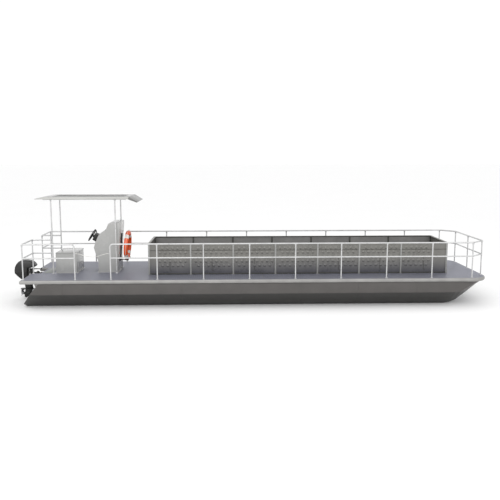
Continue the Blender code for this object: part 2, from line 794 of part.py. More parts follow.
def make_life_ring():
    """Make the life ring and the bracket that holds it off the console's front."""
    axis = Vector((math.cos(RING_LEAN), 0.0, -math.sin(RING_LEAN)))
    centre = Vector((station(RING_STATION), 0.0, RING_Z))
    ring = smooth(ring_mesh("life_ring", RING_RADIUS, RING_TUBE, 32, 12), 80.0)
    ring.data.transform(axis.to_track_quat("Z", "Y").to_matrix().to_4x4())
    ring.location = centre
    finish(ring, "orange shell")

    up = Vector((math.sin(RING_LEAN), 0.0, math.cos(RING_LEAN)))
    front = Vector((station(2.275), 0.0, DECK_Z))
    slope = Vector((0.095, 0.0, 1.330)).normalized()
    level = RING_Z - DECK_Z
    face = front + slope * (level / slope.z)
    out = Vector((slope.z, 0.0, -slope.x))
    plate_depth = 0.020
    reach = (centre - face).dot(out)
    # The back board runs down the console; two hooks below carry the ring's tube.
    board = [
        face + out * GAP - slope * 0.372,
        face + out * (GAP + plate_depth) - slope * 0.372,
        face + out * (GAP + plate_depth) + slope * 0.330,
        face + out * GAP + slope * 0.330,
    ]
    pieces = [prism("board", [(p.x, p.z) for p in board], "Y", -0.060, 0.060)]
    # The hooks sit an eighth of a turn apart, where the ring's facets meet.
    arm_radius = 0.012
    spread = math.radians(22.5)
    reach_down = RING_RADIUS + RING_TUBE + arm_radius * math.cos(spread) + GAP
    drop = reach_down * math.cos(spread)
    for side in SIDES.values():
        across = side * reach_down * math.sin(spread)
        seat = centre - up * drop + Vector((0.0, across, 0.0))
        root = seat - out * (reach - 0.010)
        pieces.append(rod("arm", root, seat + out * 0.050, arm_radius, 8))
        pieces.append(rod("toe", seat + out * 0.058 - up * 0.012, seat + out * 0.062 + up * 0.045, 0.010, 8))
        strap_y = sorted((0.0, across * 1.12))
        low = face + out * 0.004 - slope * (drop + 0.025)
        strap = [low, low + out * 0.018, low + out * 0.018 + slope * 0.050, low + slope * 0.050]
        pieces.append(prism("strap", [(p.x, p.z) for p in strap], "Y", strap_y[0], strap_y[1]))
    bracket = fuse("life_ring_bracket", pieces)
    finish(bracket, "black plastic")


def make_motor_transom():
    """Make the motor's mounting plate in the notch, and the gusset at each side of it."""
    half = TRANSOM_HALF - 0.006
    plate_low = (station(TRANSOM_AFT), GAP - half, TRANSOM_LOW_Z)
    plate_high = (station(TRANSOM_FORE), half - GAP, TRANSOM_TOP_Z)
    finish(box("motor_transom", plate_low, plate_high), "bare aluminium")
    under_beam = FRAME_BOTTOM_Z - GAP
    # Columns: station, height
    gusset = [
        (0.030, under_beam),
        (0.030, 0.450),
        (0.075, 0.290),
        (0.110, 0.290),
        (0.330, 0.520),
        (0.330, under_beam),
    ]
    outline = [(station(along), z) for along, z in gusset]
    for name, side in SIDES.items():
        ends = sorted((side * half, side * (half + 0.014)))
        plate = prism("transom_gusset_" + name, outline, "Y", ends[0], ends[1])
        finish(plate, "bare aluminium")


def make_motor_bracket():
    """Make the clamp bracket that hooks over the transom, with its screws and tilt pin ends."""
    slot_aft = TRANSOM_AFT - GAP
    slot_fore = TRANSOM_FORE + GAP
    # Columns: station, height
    arm = [
        (-0.020, 0.430),
        (0.005, 0.400),
        (slot_aft, 0.400),
        (slot_aft, TRANSOM_TOP_Z + GAP),
        (slot_fore, TRANSOM_TOP_Z + GAP),
        (slot_fore, 0.510),
        (0.130, 0.510),
        (0.130, 0.620),
        (0.112, 0.650),
        (0.080, 0.684),
        (0.048, 0.722),
        (0.002, 0.722),
        (-0.020, 0.690),
    ]
    outline = [(station(along), z) for along, z in arm]
    pieces = []
    for side in SIDES.values():
        ends = sorted((side * 0.088, side * 0.114))
        pieces.append(prism("arm", outline, "Y", ends[0], ends[1]))
        pieces.append(rod("pin", pin_point(side * 0.100), pin_point(side * 0.132), 0.018, 12))
        screw_y = side * 0.101
        start = (station(0.115), screw_y, 0.560)
        end = (station(0.180), screw_y, 0.560)
        pieces.append(rod("screw", start, end, 0.009, 8))
        low = (station(0.174), screw_y, 0.530)
        high = (station(0.174), screw_y, 0.590)
        pieces.append(rod("handle", low, high, 0.007, 8))
    brace_low = (station(-0.012), -0.100, 0.440)
    brace_high = (station(0.018), 0.100, 0.475)
    pieces.append(box("brace", brace_low, brace_high))
    bracket = fuse("motor_bracket", pieces)
    finish(bracket, "black casting")


def pin_point(y):
    """Return the point of the tilt axis at one Y."""
    return (station(TILT_STATION), y, TILT_Z)


def make_motor_swivel():
    """Make the tilting part: knuckle on the tilt pin, web and upright swivel tube."""
    x = station(STEER_STATION)
    knuckle = rod("knuckle", pin_point(-0.0875), pin_point(0.0875), 0.027, 14)
    tube = rod("tube", (x, 0.0, 0.482), (x, 0.0, STEER_ARM_LOW_Z - GAP), 0.024, 14)
    # Columns: station, height
    web = [(-0.085, 0.490), (-0.085, 0.712), (0.025, 0.712)]
    web += [(0.025, 0.668), (-0.010, 0.652), (-0.045, 0.590)]
    outline = [(station(along), z) for along, z in web]
    plate = prism("web", outline, "Y", -0.018, 0.018)
    swivel = smooth(fuse("motor_swivel", [knuckle, tube, plate]))
    set_origin(swivel, pin_point(0.0))
    finish(swivel, "black casting")


def make_motor_cowl():
    """Make the cowl by extruding its side profile, with its top drawn in and its edges rounded."""
    # Columns: station, height, half width
    rows = [
        (-0.385, 0.520, 0.090),
        (-0.534, 0.700, 0.165),
        (-0.522, 0.860, 0.175),
        (-0.460, 0.985, 0.150),
        (-0.360, 1.050, 0.115),
        (-0.110, 1.040, 0.110),
        (-0.020, 0.985, 0.125),
        (0.033, 0.885, 0.145),
        (0.022, 0.855, 0.150),
        (-0.165, 0.838, 0.160),
        (-0.185, 0.640, 0.120),
        (-0.230, 0.520, 0.085),
    ]
    shape = bmesh.new()
    left = [shape.verts.new((station(along), -half, z)) for along, z, half in rows]
    right = [shape.verts.new((station(along), half, z)) for along, z, half in rows]
    shape.faces.new(left)
    shape.faces.new(right)
    count = len(rows)
    for index in range(count):
        after = (index + 1) % count
        shape.faces.new((left[index], left[after], right[after], right[index]))
    cowl = from_bmesh("motor_cowl", shape)
    bevel = cowl.modifiers.new("round edges", "BEVEL")
    bevel.width = 0.030
    bevel.segments = 2
    bevel.limit_method = "ANGLE"
    bevel.angle_limit = math.radians(60)
    smooth(cowl, 40.0)
    set_origin(cowl, (station(STEER_STATION), 0.0, TILT_Z))
    finish(cowl, "black casting")


def leg_loft():
    """Return the drive leg from the cowl to the gear case, as six-sided sections."""
    # Columns: height, aft station, fore station, half width
    rows = [
        (0.5197, -0.375, -0.150, 0.070),
        (0.450, -0.345, -0.118, 0.055),
        (0.350, -0.314, -0.098, 0.042),
        (0.262, -0.304, -0.088, 0.026),
        (HUB_Z, -0.320, -0.130, 0.018),
    ]
    shape = bmesh.new()
    rings = []
    for z, aft, fore, half in rows:
        shoulder = (fore - aft) * 0.25
        points = [
            (aft, 0.0),
            (aft + shoulder, half),
            (fore - shoulder, half),
            (fore, 0.0),
            (fore - shoulder, -half),
            (aft + shoulder, -half),
        ]
        rings.append([shape.verts.new((station(along), y, z)) for along, y in points])
    for ring, after in zip(rings, rings[1:]):
        for index in range(6):
            right = (index + 1) % 6
            shape.faces.new((ring[index], ring[right], after[right], after[index]))
    shape.faces.new(rings[0])
    shape.faces.new(rings[-1])
    return from_bmesh("leg", shape)


def make_motor_leg():
    """Make the steered part below the cowl: leg, plate, gear case, skeg, spine and yoke."""
    pieces = [leg_loft()]
    plate = [(-0.432, 0.0), (-0.405, 0.080), (-0.180, 0.085), (-0.070, 0.030)]
    plate += [(along, -y) for along, y in reversed(plate[1:])]
    outline = [(station(along), y) for along, y in plate]
    pieces.append(prism("plate", outline, "Z", PLATE_Z, PLATE_Z + 0.014))
    # Columns: first station, first radius, last station, last radius
    for first, wide, last, narrow in ((-0.345, 0.034, -0.180, 0.040), (-0.181, 0.040, -0.085, 0.012)):
        start = (station(first), 0.0, HUB_Z)
        end = (station(last), 0.0, HUB_Z)
        pieces.append(rod("case", start, end, wide, 14, narrow))
    skeg = [(-0.330, 0.115), (-0.335, 0.022), (-0.300, 0.010), (-0.270, 0.010), (-0.150, 0.105)]
    outline = [(station(along), z) for along, z in skeg]
    pieces.append(prism("skeg", outline, "Y", -0.006, 0.006))
    spine_low = (station(-0.150), -0.026, 0.430)
    spine_high = (station(-0.1145), 0.026, STEER_ARM_LOW_Z - GAP)
    pieces.append(box("spine", spine_low, spine_high))
    yoke_low = (station(-0.148), -0.024, 0.436)
    yoke_high = (station(-0.060), 0.024, 0.482 - GAP)
    pieces.append(box("yoke", yoke_low, yoke_high))
    leg = smooth(fuse("motor_leg", pieces))
    set_origin(leg, (station(STEER_STATION), 0.0, TILT_Z))
    finish(leg, "black casting")


def make_steering_arm():
    """Make the flat steering arm that lies on the spine and the swivel tube."""
    # Columns: station, half width
    arm = [(-0.148, 0.040), (-0.050, 0.040), (0.080, 0.018), (0.170, 0.018)]
    arm += [(along, -y) for along, y in reversed(arm)]
    outline = [(station(along), y) for along, y in arm]
    steering_arm = prism("steering_arm", outline, "Z", STEER_ARM_LOW_Z, STEER_ARM_TOP_Z)
    set_origin(steering_arm, (station(STEER_STATION), 0.0, TILT_Z))
    finish(steering_arm, "black casting")


def make_propeller():
    """Make the three-bladed propeller on its hub."""
    x = station(PROPELLER_STATION)
    hub_start = (x - 0.036, 0.0, HUB_Z)
    hub_end = (station(-0.345) - GAP, 0.0, HUB_Z)
    pieces = [rod("hub", hub_start, hub_end, 0.022, 14, 0.032)]
    pitch = math.radians(28)
    for index in range(3):
        turn = Matrix.Rotation(math.radians(90 + 120 * index), 4, "X")
        # Columns: radius, half width, twist share
        rows = [(0.012, 0.020, 1.5), (0.066, 0.042, 1.0), (0.098, 0.030, 0.8)]
        rows.append((PROPELLER_RADIUS, 0.010, 0.7))
        shape = bmesh.new()
        rings = []
        for radius, half, share in rows:
            angle = pitch * share
            ring = []
            for across, thick in ((-half, 0.0), (0.0, 0.003), (half, 0.0), (0.0, -0.003)):
                along = across * math.sin(angle) + thick * math.cos(angle)
                side = across * math.cos(angle) - thick * math.sin(angle)
                ring.append(shape.verts.new(turn @ Vector((along, side, radius))))
            rings.append(ring)
        for ring, after in zip(rings, rings[1:]):
            for corner in range(4):
                right = (corner + 1) % 4
                shape.faces.new((ring[corner], ring[right], after[right], after[corner]))
        shape.faces.new(rings[0])
        shape.faces.new(rings[-1])
        bmesh.ops.translate(shape, vec=(x, 0.0, HUB_Z), verts=shape.verts)
        bmesh.ops.triangulate(shape, faces=shape.faces)
        pieces.append(from_bmesh("blade", shape))
    propeller = smooth(fuse("propeller", pieces))
    set_origin(propeller, (x, 0.0, HUB_Z))
    finish(propeller, "black casting")


def main():
    """Build the whole boat."""
    clear_scene()
    for name, side in SIDES.items():
        make_hull("hull_" + name, side)
        make_side_rail(name, side)
        make_quarter_rail("rail_quarter_" + name, side)
        make_stern_rail("rail_stern_" + name, side)
        make_gate_rope("gate_rope_" + name, side)
    make_deck_frame()
    make_deck_plate()
    make_deck_edge()
    make_stern_plate()
    make_bow_rail()
    make_bin()
    make_canopy()
    make_seat()
    make_console()
    make_helm()
    make_life_ring()
    make_motor_transom()
    make_motor_bracket()
    make_motor_swivel()
    make_motor_cowl()
    make_motor_leg()
    make_steering_arm()
    make_propeller()


main()
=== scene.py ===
"""Looks for a twin pontoon work boat with a long bin of dimpled sheet.

The boat's solids come in as a fixed frame. Finer pieces, finishes, a floor, light and a camera
are added round them. Everything is in metres, with the bow towards +X and port towards +Y.
"""

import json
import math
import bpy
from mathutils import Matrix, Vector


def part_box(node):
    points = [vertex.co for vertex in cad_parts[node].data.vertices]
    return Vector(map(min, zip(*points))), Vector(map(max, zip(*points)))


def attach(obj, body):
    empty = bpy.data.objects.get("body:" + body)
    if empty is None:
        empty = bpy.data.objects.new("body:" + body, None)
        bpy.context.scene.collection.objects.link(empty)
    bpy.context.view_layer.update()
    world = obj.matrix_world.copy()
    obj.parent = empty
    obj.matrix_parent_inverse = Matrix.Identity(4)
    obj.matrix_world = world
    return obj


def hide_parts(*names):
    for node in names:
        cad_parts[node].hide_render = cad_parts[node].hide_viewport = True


bl_info = {
    "name": "Skimmer Boat Looks",
    "version": (1, 0, 0),
    "blender": (4, 5, 0),
    "location": "View3D > Sidebar > Skimmer Boat",
    "description": "Dresses the boat's solids with finer pieces, finishes, a floor and light",
    "category": "Object",
}

import bmesh
import bpy
from bpy.props import FloatProperty, FloatVectorProperty, IntProperty, PointerProperty
from mathutils import Matrix, Vector

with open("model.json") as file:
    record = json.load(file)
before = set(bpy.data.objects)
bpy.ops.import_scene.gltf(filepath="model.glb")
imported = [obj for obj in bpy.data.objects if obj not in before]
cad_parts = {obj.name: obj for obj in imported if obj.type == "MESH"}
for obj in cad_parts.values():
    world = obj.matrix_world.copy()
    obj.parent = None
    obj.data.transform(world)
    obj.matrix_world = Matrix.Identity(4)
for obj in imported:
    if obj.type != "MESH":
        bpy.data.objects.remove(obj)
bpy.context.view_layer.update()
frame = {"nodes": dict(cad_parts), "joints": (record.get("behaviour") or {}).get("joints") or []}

# The solids' own places, read once
PLATE_LOW, PLATE_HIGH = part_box("deck_plate")
DECK_Z = PLATE_HIGH.z
STERN_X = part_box("deck_edge_stern_port")[0].x
SIDES = (("starboard", -1.0), ("port", 1.0))

# Stations of the bin's posts
BIN_POSTS = (3.155, 4.243, 5.360, 6.470, 7.585, 8.690, 9.800, 11.020)


def station(distance):
    """Return the X of a station measured forward from the deck's stern edge."""
    return STERN_X + distance


def deselect():
    """Go to object mode with nothing selected."""
    if bpy.context.object is not None and bpy.context.object.mode != "OBJECT":
        bpy.ops.object.mode_set(mode="OBJECT")
    bpy.ops.object.select_all(action="DESELECT")


def pick(item):
    """Select one object and make it the active one."""
    deselect()
    item.select_set(True)
    bpy.context.view_layer.objects.active = item


def settle(name):
    """Name the active object and put its place into its mesh."""
    item = bpy.context.object
    item.name = name
    item.data.name = name
    bpy.ops.object.transform_apply(location=True, rotation=True, scale=True)
    return item


def block(name, low, high, bevel=0.0, segments=2):
    """Return a box between two corners, with bevelled edges where a width is given."""
    deselect()
    size = [high[i] - low[i] for i in range(3)]
    middle = [(high[i] + low[i]) / 2 for i in range(3)]
    bpy.ops.mesh.primitive_cube_add(size=1, location=middle, scale=size)
    item = settle(name)
    if bevel:
        round_edges(item, bevel, segments)
    return item


def tube(name, start, end, radius, sides=16, tip=None):
    """Return a cylinder, or a cone where a tip radius is given, between two points."""
    deselect()
    start = Vector(start)
    end = Vector(end)
    along = end - start
    bpy.ops.mesh.primitive_cone_add(
        vertices=sides,
        radius1=radius,
        radius2=radius if tip is None else tip,
        depth=along.length,
        location=(start + end) / 2,
        rotation=along.to_track_quat("Z", "Y").to_euler(),
    )
    return settle(name)


def plate(name, outline, low, high, axis="Y", bevel=0.0, segments=2):
    """Fill an outline and extrude it along an axis, with (x, z), (x, y) or (y, z) pairs."""
    deselect()
    bpy.ops.mesh.primitive_circle_add(vertices=len(outline), radius=1, fill_type="NGON")
    item = bpy.context.object
    for corner, (first, second) in zip(item.data.vertices, outline):
        places = {"Y": (first, low, second), "Z": (first, second, low), "X": (low, first, second)}
        corner.co = places[axis]
    step = {"Y": (0, high - low, 0), "Z": (0, 0, high - low), "X": (high - low, 0, 0)}[axis]
    bpy.ops.object.mode_set(mode="EDIT")
    bpy.ops.mesh.select_all(action="SELECT")
    bpy.ops.mesh.extrude_region_move(TRANSFORM_OT_translate={"value": step})
    bpy.ops.mesh.select_all(action="SELECT")
    bpy.ops.mesh.normals_make_consistent(inside=False)
    bpy.ops.object.mode_set(mode="OBJECT")
    item = settle(name)
    if bevel:
        round_edges(item, bevel, segments)
    return item


def bent_tube(name, points, radius, resolution=4, cyclic=False):
    """Return a round tube along a path of points, as a mesh."""
    deselect()
    curve = bpy.data.curves.new(name, "CURVE")
    curve.dimensions = "3D"
    curve.bevel_depth = radius
    curve.bevel_resolution = resolution
    curve.use_fill_caps = not cyclic
    spline = curve.splines.new("POLY")
    spline.points.add(len(points) - 1)
    for knot, point in zip(spline.points, points):
        knot.co = (*point, 1.0)
    spline.use_cyclic_u = cyclic
    item = bpy.data.objects.new(name, curve)
    bpy.context.scene.collection.objects.link(item)
    pick(item)
    bpy.ops.object.convert(target="MESH")
    return settle(name)


def add_modifier(item, kind, **settings):
    """Add one modifier with its settings and apply it."""
    pick(item)
    step = item.modifiers.new(kind.title(), kind)
    for key, value in settings.items():
        setattr(step, key, value)
    bpy.ops.object.modifier_apply(modifier=step.name)
    return item


def round_edges(item, width, segments=2, angle=30.0):
    """Bevel every edge sharper than an angle."""
    return add_modifier(
        item,
        "BEVEL",
        width=width,
        segments=segments,
        limit_method="ANGLE",
        angle_limit=math.radians(angle),
        use_clamp_overlap=True,
    )


def smooth(item, angle=35.0):
    """Shade a piece smooth except over its sharp edges."""
    pick(item)
    bpy.ops.object.shade_smooth_by_angle(angle=math.radians(angle))
    return item


def join(name, pieces):
    """Join pieces into one object."""
    deselect()
    for piece in pieces:
        piece.select_set(True)
    bpy.context.view_layer.objects.active = pieces[0]
    bpy.ops.object.join()
    return settle(name)


def cut(item, cutters, solver="EXACT"):
    """Cut a set of pieces out of an object."""
    tool = cutters if isinstance(cutters, bpy.types.Object) else join("cutter", cutters)
    add_modifier(item, "BOOLEAN", object=tool, operation="DIFFERENCE", solver=solver)
    bpy.data.objects.remove(tool)
    return item


def copies(item, moves):
    """Return copies of an object, each with its own mesh, moved by the given steps."""
    made = []
    for move in moves:
        twin = item.copy()
        twin.data = item.data.copy()
        twin.data.transform(Matrix.Translation(move))
        bpy.context.scene.collection.objects.link(twin)
        made.append(twin)
    return made


def turned_copies(item, centre, axis, count):
    """Return copies of an object turned evenly about an axis through a centre."""
    made = []
    for index in range(1, count):
        twin = item.copy()
        twin.data = item.data.copy()
        turn = Matrix.Rotation(2 * math.pi * index / count, 4, axis)
        twin.data.transform(Matrix.Translation(centre) @ turn @ Matrix.Translation(-Vector(centre)))
        bpy.context.scene.collection.objects.link(twin)
        made.append(twin)
    return made


def finer(node, name, bevel=0.0, segments=2, angle=30.0):
    """Return a copy of a solid with its flat faces merged and its edges bevelled."""
    twin = frame["nodes"][node].copy()
    twin.data = twin.data.copy()
    bpy.context.scene.collection.objects.link(twin)
    pick(twin)
    bpy.ops.object.mode_set(mode="EDIT")
    bpy.ops.mesh.select_all(action="SELECT")
    bpy.ops.mesh.remove_doubles(threshold=0.00005)
    bpy.ops.mesh.dissolve_limited(angle_limit=math.radians(0.5))
    bpy.ops.object.mode_set(mode="OBJECT")
    bpy.ops.object.shade_flat()
    settle(name)
    if bevel:
        round_edges(twin, bevel, segments, angle)
    return twin


def arc(centre, radius, start, end, steps):
    """Return points of a flat arc from start to end in degrees."""
    points = []
    for index in range(steps + 1):
        turn = math.radians(start + (end - start) * index / steps)
        points.append((centre[0] + radius * math.cos(turn), centre[1] + radius * math.sin(turn)))
    return points


def bolt(point, way, radius=0.006):
    """Return a hexagon bolt head on its washer, facing one way."""
    point = Vector(point)
    way = Vector(way).normalized()
    washer = tube("washer", point - way * 0.0005, point + way * radius * 0.3, radius * 1.7, 14, radius * 1.6)
    head = tube("head", point + way * radius * 0.25, point + way * radius * 1.1, radius, 6)
    return [washer, head]


def paint_some(item, finish, wanted):
    """Give the faces that a test picks a second finish."""
    item.data.materials.append(finish)
    last = len(item.data.materials) - 1
    for face in item.data.polygons:
        if wanted(face):
            face.material_index = last


def hand_over(item, finish, body="boat", nodes=()):
    """Give a finished piece its finish and body, and let it stand for its solids."""
    item.data.materials.clear()
    item.data.materials.append(finish)
    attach(item, body)
    if nodes:
        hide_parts(*nodes)
    return item


def start_finish(name, colour, roughness, metallic=0.0):
    """Return a new material with its tree and shader."""
    material = bpy.data.materials.new(name)
    material.use_nodes = True
    shader = material.node_tree.nodes["Principled BSDF"]
    shader.inputs["Base Color"].default_value = (*colour[:3], 1.0)
    shader.inputs["Roughness"].default_value = roughness
    shader.inputs["Metallic"].default_value = metallic
    return material, material.node_tree, shader


def place_pattern(tree, scale=(1.0, 1.0, 1.0), turn=(0.0, 0.0, 0.0)):
    """Return the object's own coordinates, scaled and turned."""
    where = tree.nodes.new("ShaderNodeTexCoord")
    mapping = tree.nodes.new("ShaderNodeMapping")
    mapping.inputs["Scale"].default_value = scale
    mapping.inputs["Rotation"].default_value = turn
    tree.links.new(where.outputs["Object"], mapping.inputs["Vector"])
    return mapping.outputs["Vector"]


def noise(tree, where, scale, detail=3.0, rough=0.55):
    """Return the value of a noise pattern."""
    node = tree.nodes.new("ShaderNodeTexNoise")
    node.inputs["Scale"].default_value = scale
    node.inputs["Detail"].default_value = detail
    node.inputs["Roughness"].default_value = rough
    tree.links.new(where, node.inputs["Vector"])
    return node.outputs["Fac"]


def sums(tree, operation, first, second=None, third=None, clamp=False):
    """Return one sum of values or sockets."""
    node = tree.nodes.new("ShaderNodeMath")
    node.operation = operation
    node.use_clamp = clamp
    for socket, value in zip(node.inputs, (first, second, third)):
        if value is None:
            continue
        if isinstance(value, (int, float)):
            socket.default_value = value
        else:
            tree.links.new(value, socket)
    return node.outputs[0]


def spread(tree, value, low, high, to_low, to_high):
    """Return a value mapped from one range to another, held at its ends."""
    node = tree.nodes.new("ShaderNodeMapRange")
    for socket, number in zip(list(node.inputs)[1:5], (low, high, to_low, to_high)):
        socket.default_value = number
    tree.links.new(value, node.inputs[0])
    return node.outputs[0]


def mix_colours(tree, share, first, second):
    """Return a blend of two colours, each a tuple or a socket."""
    node = tree.nodes.new("ShaderNodeMix")
    node.data_type = "RGBA"
    tree.links.new(share, node.inputs["Factor"])
    for socket, value in ((node.inputs[6], first), (node.inputs[7], second)):
        if isinstance(value, (tuple, list)) or hasattr(value, "__len__"):
            socket.default_value = (*value[:3], 1.0)
        else:
            tree.links.new(value, socket)
    return node.outputs[2]


def raise_surface(tree, shader, height, distance, strength=1.0, below=None):
    """Link a height to the shader's normal as a bump, on top of another bump if given."""
    node = tree.nodes.new("ShaderNodeBump")
    node.inputs["Distance"].default_value = distance
    node.inputs["Strength"].default_value = strength
    tree.links.new(height, node.inputs["Height"])
    if below is not None:
        tree.links.new(below, node.inputs["Normal"])
    tree.links.new(node.outputs["Normal"], shader.inputs["Normal"])
    return node.outputs["Normal"]


def shade(colour, factor):
    """Return a colour made darker or lighter by a factor."""
    return tuple(min(value * factor, 1.0) for value in colour[:3])


def tube_finish(name, colour):
    """Polished aluminium tube: fine lengthwise lines and faint water marks."""
    material, tree, shader = start_finish(name, colour, 0.3, 0.55)
    lines = noise(tree, place_pattern(tree, (3.0, 60.0, 3.0)), 4.0, 4.0)
    marks = noise(tree, place_pattern(tree), 5.0, 5.0)
    tone = mix_colours(tree, spread(tree, marks, 0.35, 0.7, 0.0, 1.0), shade(colour, 0.86), colour)
    tree.links.new(tone, shader.inputs["Base Color"])
    tree.links.new(spread(tree, lines, 0.3, 0.7, 0.24, 0.40), shader.inputs["Roughness"])
    raise_surface(tree, shader, lines, 0.0004, 0.25)
    return material


def mill_finish(name, colour, metallic=0.4, rough=(0.38, 0.55)):
    """Mill aluminium: dull sheet with cloudy oxide and rolling lines."""
    material, tree, shader = start_finish(name, colour, 0.45, metallic)
    clouds = noise(tree, place_pattern(tree), 3.5, 6.0)
    lines = noise(tree, place_pattern(tree, (1.5, 45.0, 45.0)), 3.0, 3.0)
    share = sums(tree, "MULTIPLY", spread(tree, clouds, 0.3, 0.7, 0.0, 1.0), 0.8)
    tone = mix_colours(tree, share, shade(colour, 0.82), shade(colour, 1.08))
    tree.links.new(tone, shader.inputs["Base Color"])
    tree.links.new(spread(tree, lines, 0.3, 0.7, *rough), shader.inputs["Roughness"])
    raise_surface(tree, shader, lines, 0.0006, 0.25)
    return material


def paint_finish(name, colour, roughness=0.35, grime=0.85, coat=0.0):
    """Sprayed paint: faint orange peel, cloudy tone and slightly dull patches."""
    material, tree, shader = start_finish(name, colour, roughness)
    shader.inputs["Coat Weight"].default_value = coat
    shader.inputs["Coat Roughness"].default_value = 0.12
    clouds = noise(tree, place_pattern(tree), 2.2, 6.0)
    peel = noise(tree, place_pattern(tree), 260.0, 2.0)
    share = spread(tree, clouds, 0.32, 0.68, 0.0, 1.0)
    tree.links.new(mix_colours(tree, share, shade(colour, grime), colour), shader.inputs["Base Color"])
    tree.links.new(spread(tree, clouds, 0.3, 0.7, roughness - 0.05, roughness + 0.08), shader.inputs["Roughness"])
    raise_surface(tree, shader, peel, 0.0004, 0.2)
    return material


def chequer_finish(name, colour, pitch):
    """Chequered tread plate: raised lozenges that lie crosswise in turn, worn on top."""
    material, tree, shader = start_finish(name, colour, 0.45, 0.35)
    where = tree.nodes.new("ShaderNodeSeparateXYZ")
    tree.links.new(place_pattern(tree, (1 / pitch, 1 / pitch, 1 / pitch)), where.inputs["Vector"])
    cells = [sums(tree, "FLOOR", where.outputs[i]) for i in range(2)]
    inner = [sums(tree, "SUBTRACT", where.outputs[i], sums(tree, "ADD", cells[i], 0.5)) for i in range(2)]
    odd = sums(tree, "PINGPONG", sums(tree, "ADD", cells[0], cells[1]), 1.0)
    sign = sums(tree, "MULTIPLY_ADD", odd, 2.0, -1.0)
    cross = sums(tree, "MULTIPLY", inner[1], sign)
    long_way = sums(tree, "MULTIPLY", sums(tree, "ADD", inner[0], cross), 0.7071)
    short_way = sums(tree, "MULTIPLY", sums(tree, "SUBTRACT", inner[0], cross), 0.7071)
    reach = sums(tree, "POWER", sums(tree, "DIVIDE", long_way, 0.46), 2.0)
    width = sums(tree, "POWER", sums(tree, "DIVIDE", short_way, 0.13), 2.0)
    lozenge = spread(tree, sums(tree, "ADD", reach, width), 1.0, 0.35, 0.0, 1.0)
    clouds = noise(tree, place_pattern(tree), 1.7, 6.0)
    ground = mix_colours(tree, spread(tree, clouds, 0.3, 0.7, 0.0, 1.0), shade(colour, 0.80), shade(colour, 0.95))
    tree.links.new(mix_colours(tree, lozenge, ground, shade(colour, 1.35)), shader.inputs["Base Color"])
    tree.links.new(spread(tree, lozenge, 0.0, 1.0, 0.50, 0.32), shader.inputs["Roughness"])
    grain = noise(tree, place_pattern(tree), 300.0, 2.0)
    fine = raise_surface(tree, shader, grain, 0.0003, 0.2)
    raise_surface(tree, shader, lozenge, 0.0025, 0.9, fine)
    return material


def height_finish(name, low_colour, high_colour, low_z, high_z, roughness, metallic=0.0, grime=0.85):
    """Sheet or paint whose tone changes with height between two levels, with cloudy grime."""
    material, tree, shader = start_finish(name, high_colour, roughness, metallic)
    where = tree.nodes.new("ShaderNodeSeparateXYZ")
    tree.links.new(place_pattern(tree), where.inputs["Vector"])
    clouds = noise(tree, place_pattern(tree), 2.6, 6.0)
    drift = sums(tree, "MULTIPLY_ADD", clouds, (high_z - low_z) * 0.25, (low_z - high_z) * 0.125)
    level = spread(tree, sums(tree, "ADD", where.outputs[2], drift), low_z, high_z, 0.0, 1.0)
    base = mix_colours(tree, level, low_colour, high_colour)
    dull = mix_colours(tree, level, shade(low_colour, grime), shade(high_colour, grime))
    tree.links.new(mix_colours(tree, spread(tree, clouds, 0.35, 0.7, 0.0, 1.0), dull, base), shader.inputs["Base Color"])
    tree.links.new(spread(tree, clouds, 0.3, 0.7, roughness - 0.06, roughness + 0.1), shader.inputs["Roughness"])
    grain = noise(tree, place_pattern(tree, (2.0, 40.0, 40.0)), 4.0, 3.0)
    raise_surface(tree, shader, grain, 0.0005, 0.2)
    return material


def grained_finish(name, colour, roughness=0.5):
    """Moulded plastic with a fine pebble grain."""
    material, tree, shader = start_finish(name, colour, roughness)
    pebbles = tree.nodes.new("ShaderNodeTexVoronoi")
    pebbles.inputs["Scale"].default_value = 700.0
    tree.links.new(place_pattern(tree), pebbles.inputs["Vector"])
    clouds = noise(tree, place_pattern(tree), 20.0, 4.0)
    tone = mix_colours(tree, spread(tree, clouds, 0.3, 0.7, 0.0, 1.0), shade(colour, 0.8), shade(colour, 1.2))
    tree.links.new(tone, shader.inputs["Base Color"])
    raise_surface(tree, shader, pebbles.outputs["Distance"], 0.0004, 0.3)
    return material


def rope_finish(name, colour, pitch):
    """Laid rope: strands that show as slanting ridges, with painted shade in the grooves between them."""
    material, tree, shader = start_finish(name, colour, 0.85)
    strands = tree.nodes.new("ShaderNodeTexWave")
    strands.inputs["Scale"].default_value = 1.0 / pitch
    strands.inputs["Distortion"].default_value = 0.6
    tree.links.new(place_pattern(tree, turn=(0.0, math.radians(35.0), math.radians(40.0))), strands.inputs["Vector"])
    # Painted shade: the colour darkens in the grooves between the strands.
    tone = mix_colours(tree, strands.outputs["Fac"], shade(colour, 0.72), colour)
    tree.links.new(tone, shader.inputs["Base Color"])
    raise_surface(tree, shader, strands.outputs["Fac"], 0.0015, 0.7)
    return material


class BoatSizes(bpy.types.PropertyGroup):
    """Sizes of the fine details."""

    dome_radius: FloatProperty(
        name="Dome radius", description="Radius of each dome pressed in the bin's walls", default=0.044, unit="LENGTH"
    )
    dome_height: FloatProperty(
        name="Dome height", description="How far each dome stands out of the sheet", default=0.017, unit="LENGTH"
    )
    dome_pitch: FloatProperty(
        name="Dome pitch", description="Distance between domes in a row", default=0.134, unit="LENGTH"
    )
    sheet: FloatProperty(
        name="Bin sheet", description="Thickness of the bin's wall sheet", default=0.006, unit="LENGTH"
    )
    tread_pitch: FloatProperty(
        name="Tread pitch", description="Distance between the deck's raised lozenges", default=0.055, unit="LENGTH"
    )
    tube_sides: IntProperty(name="Tube sides", description="Sides of a round tube", default=16)


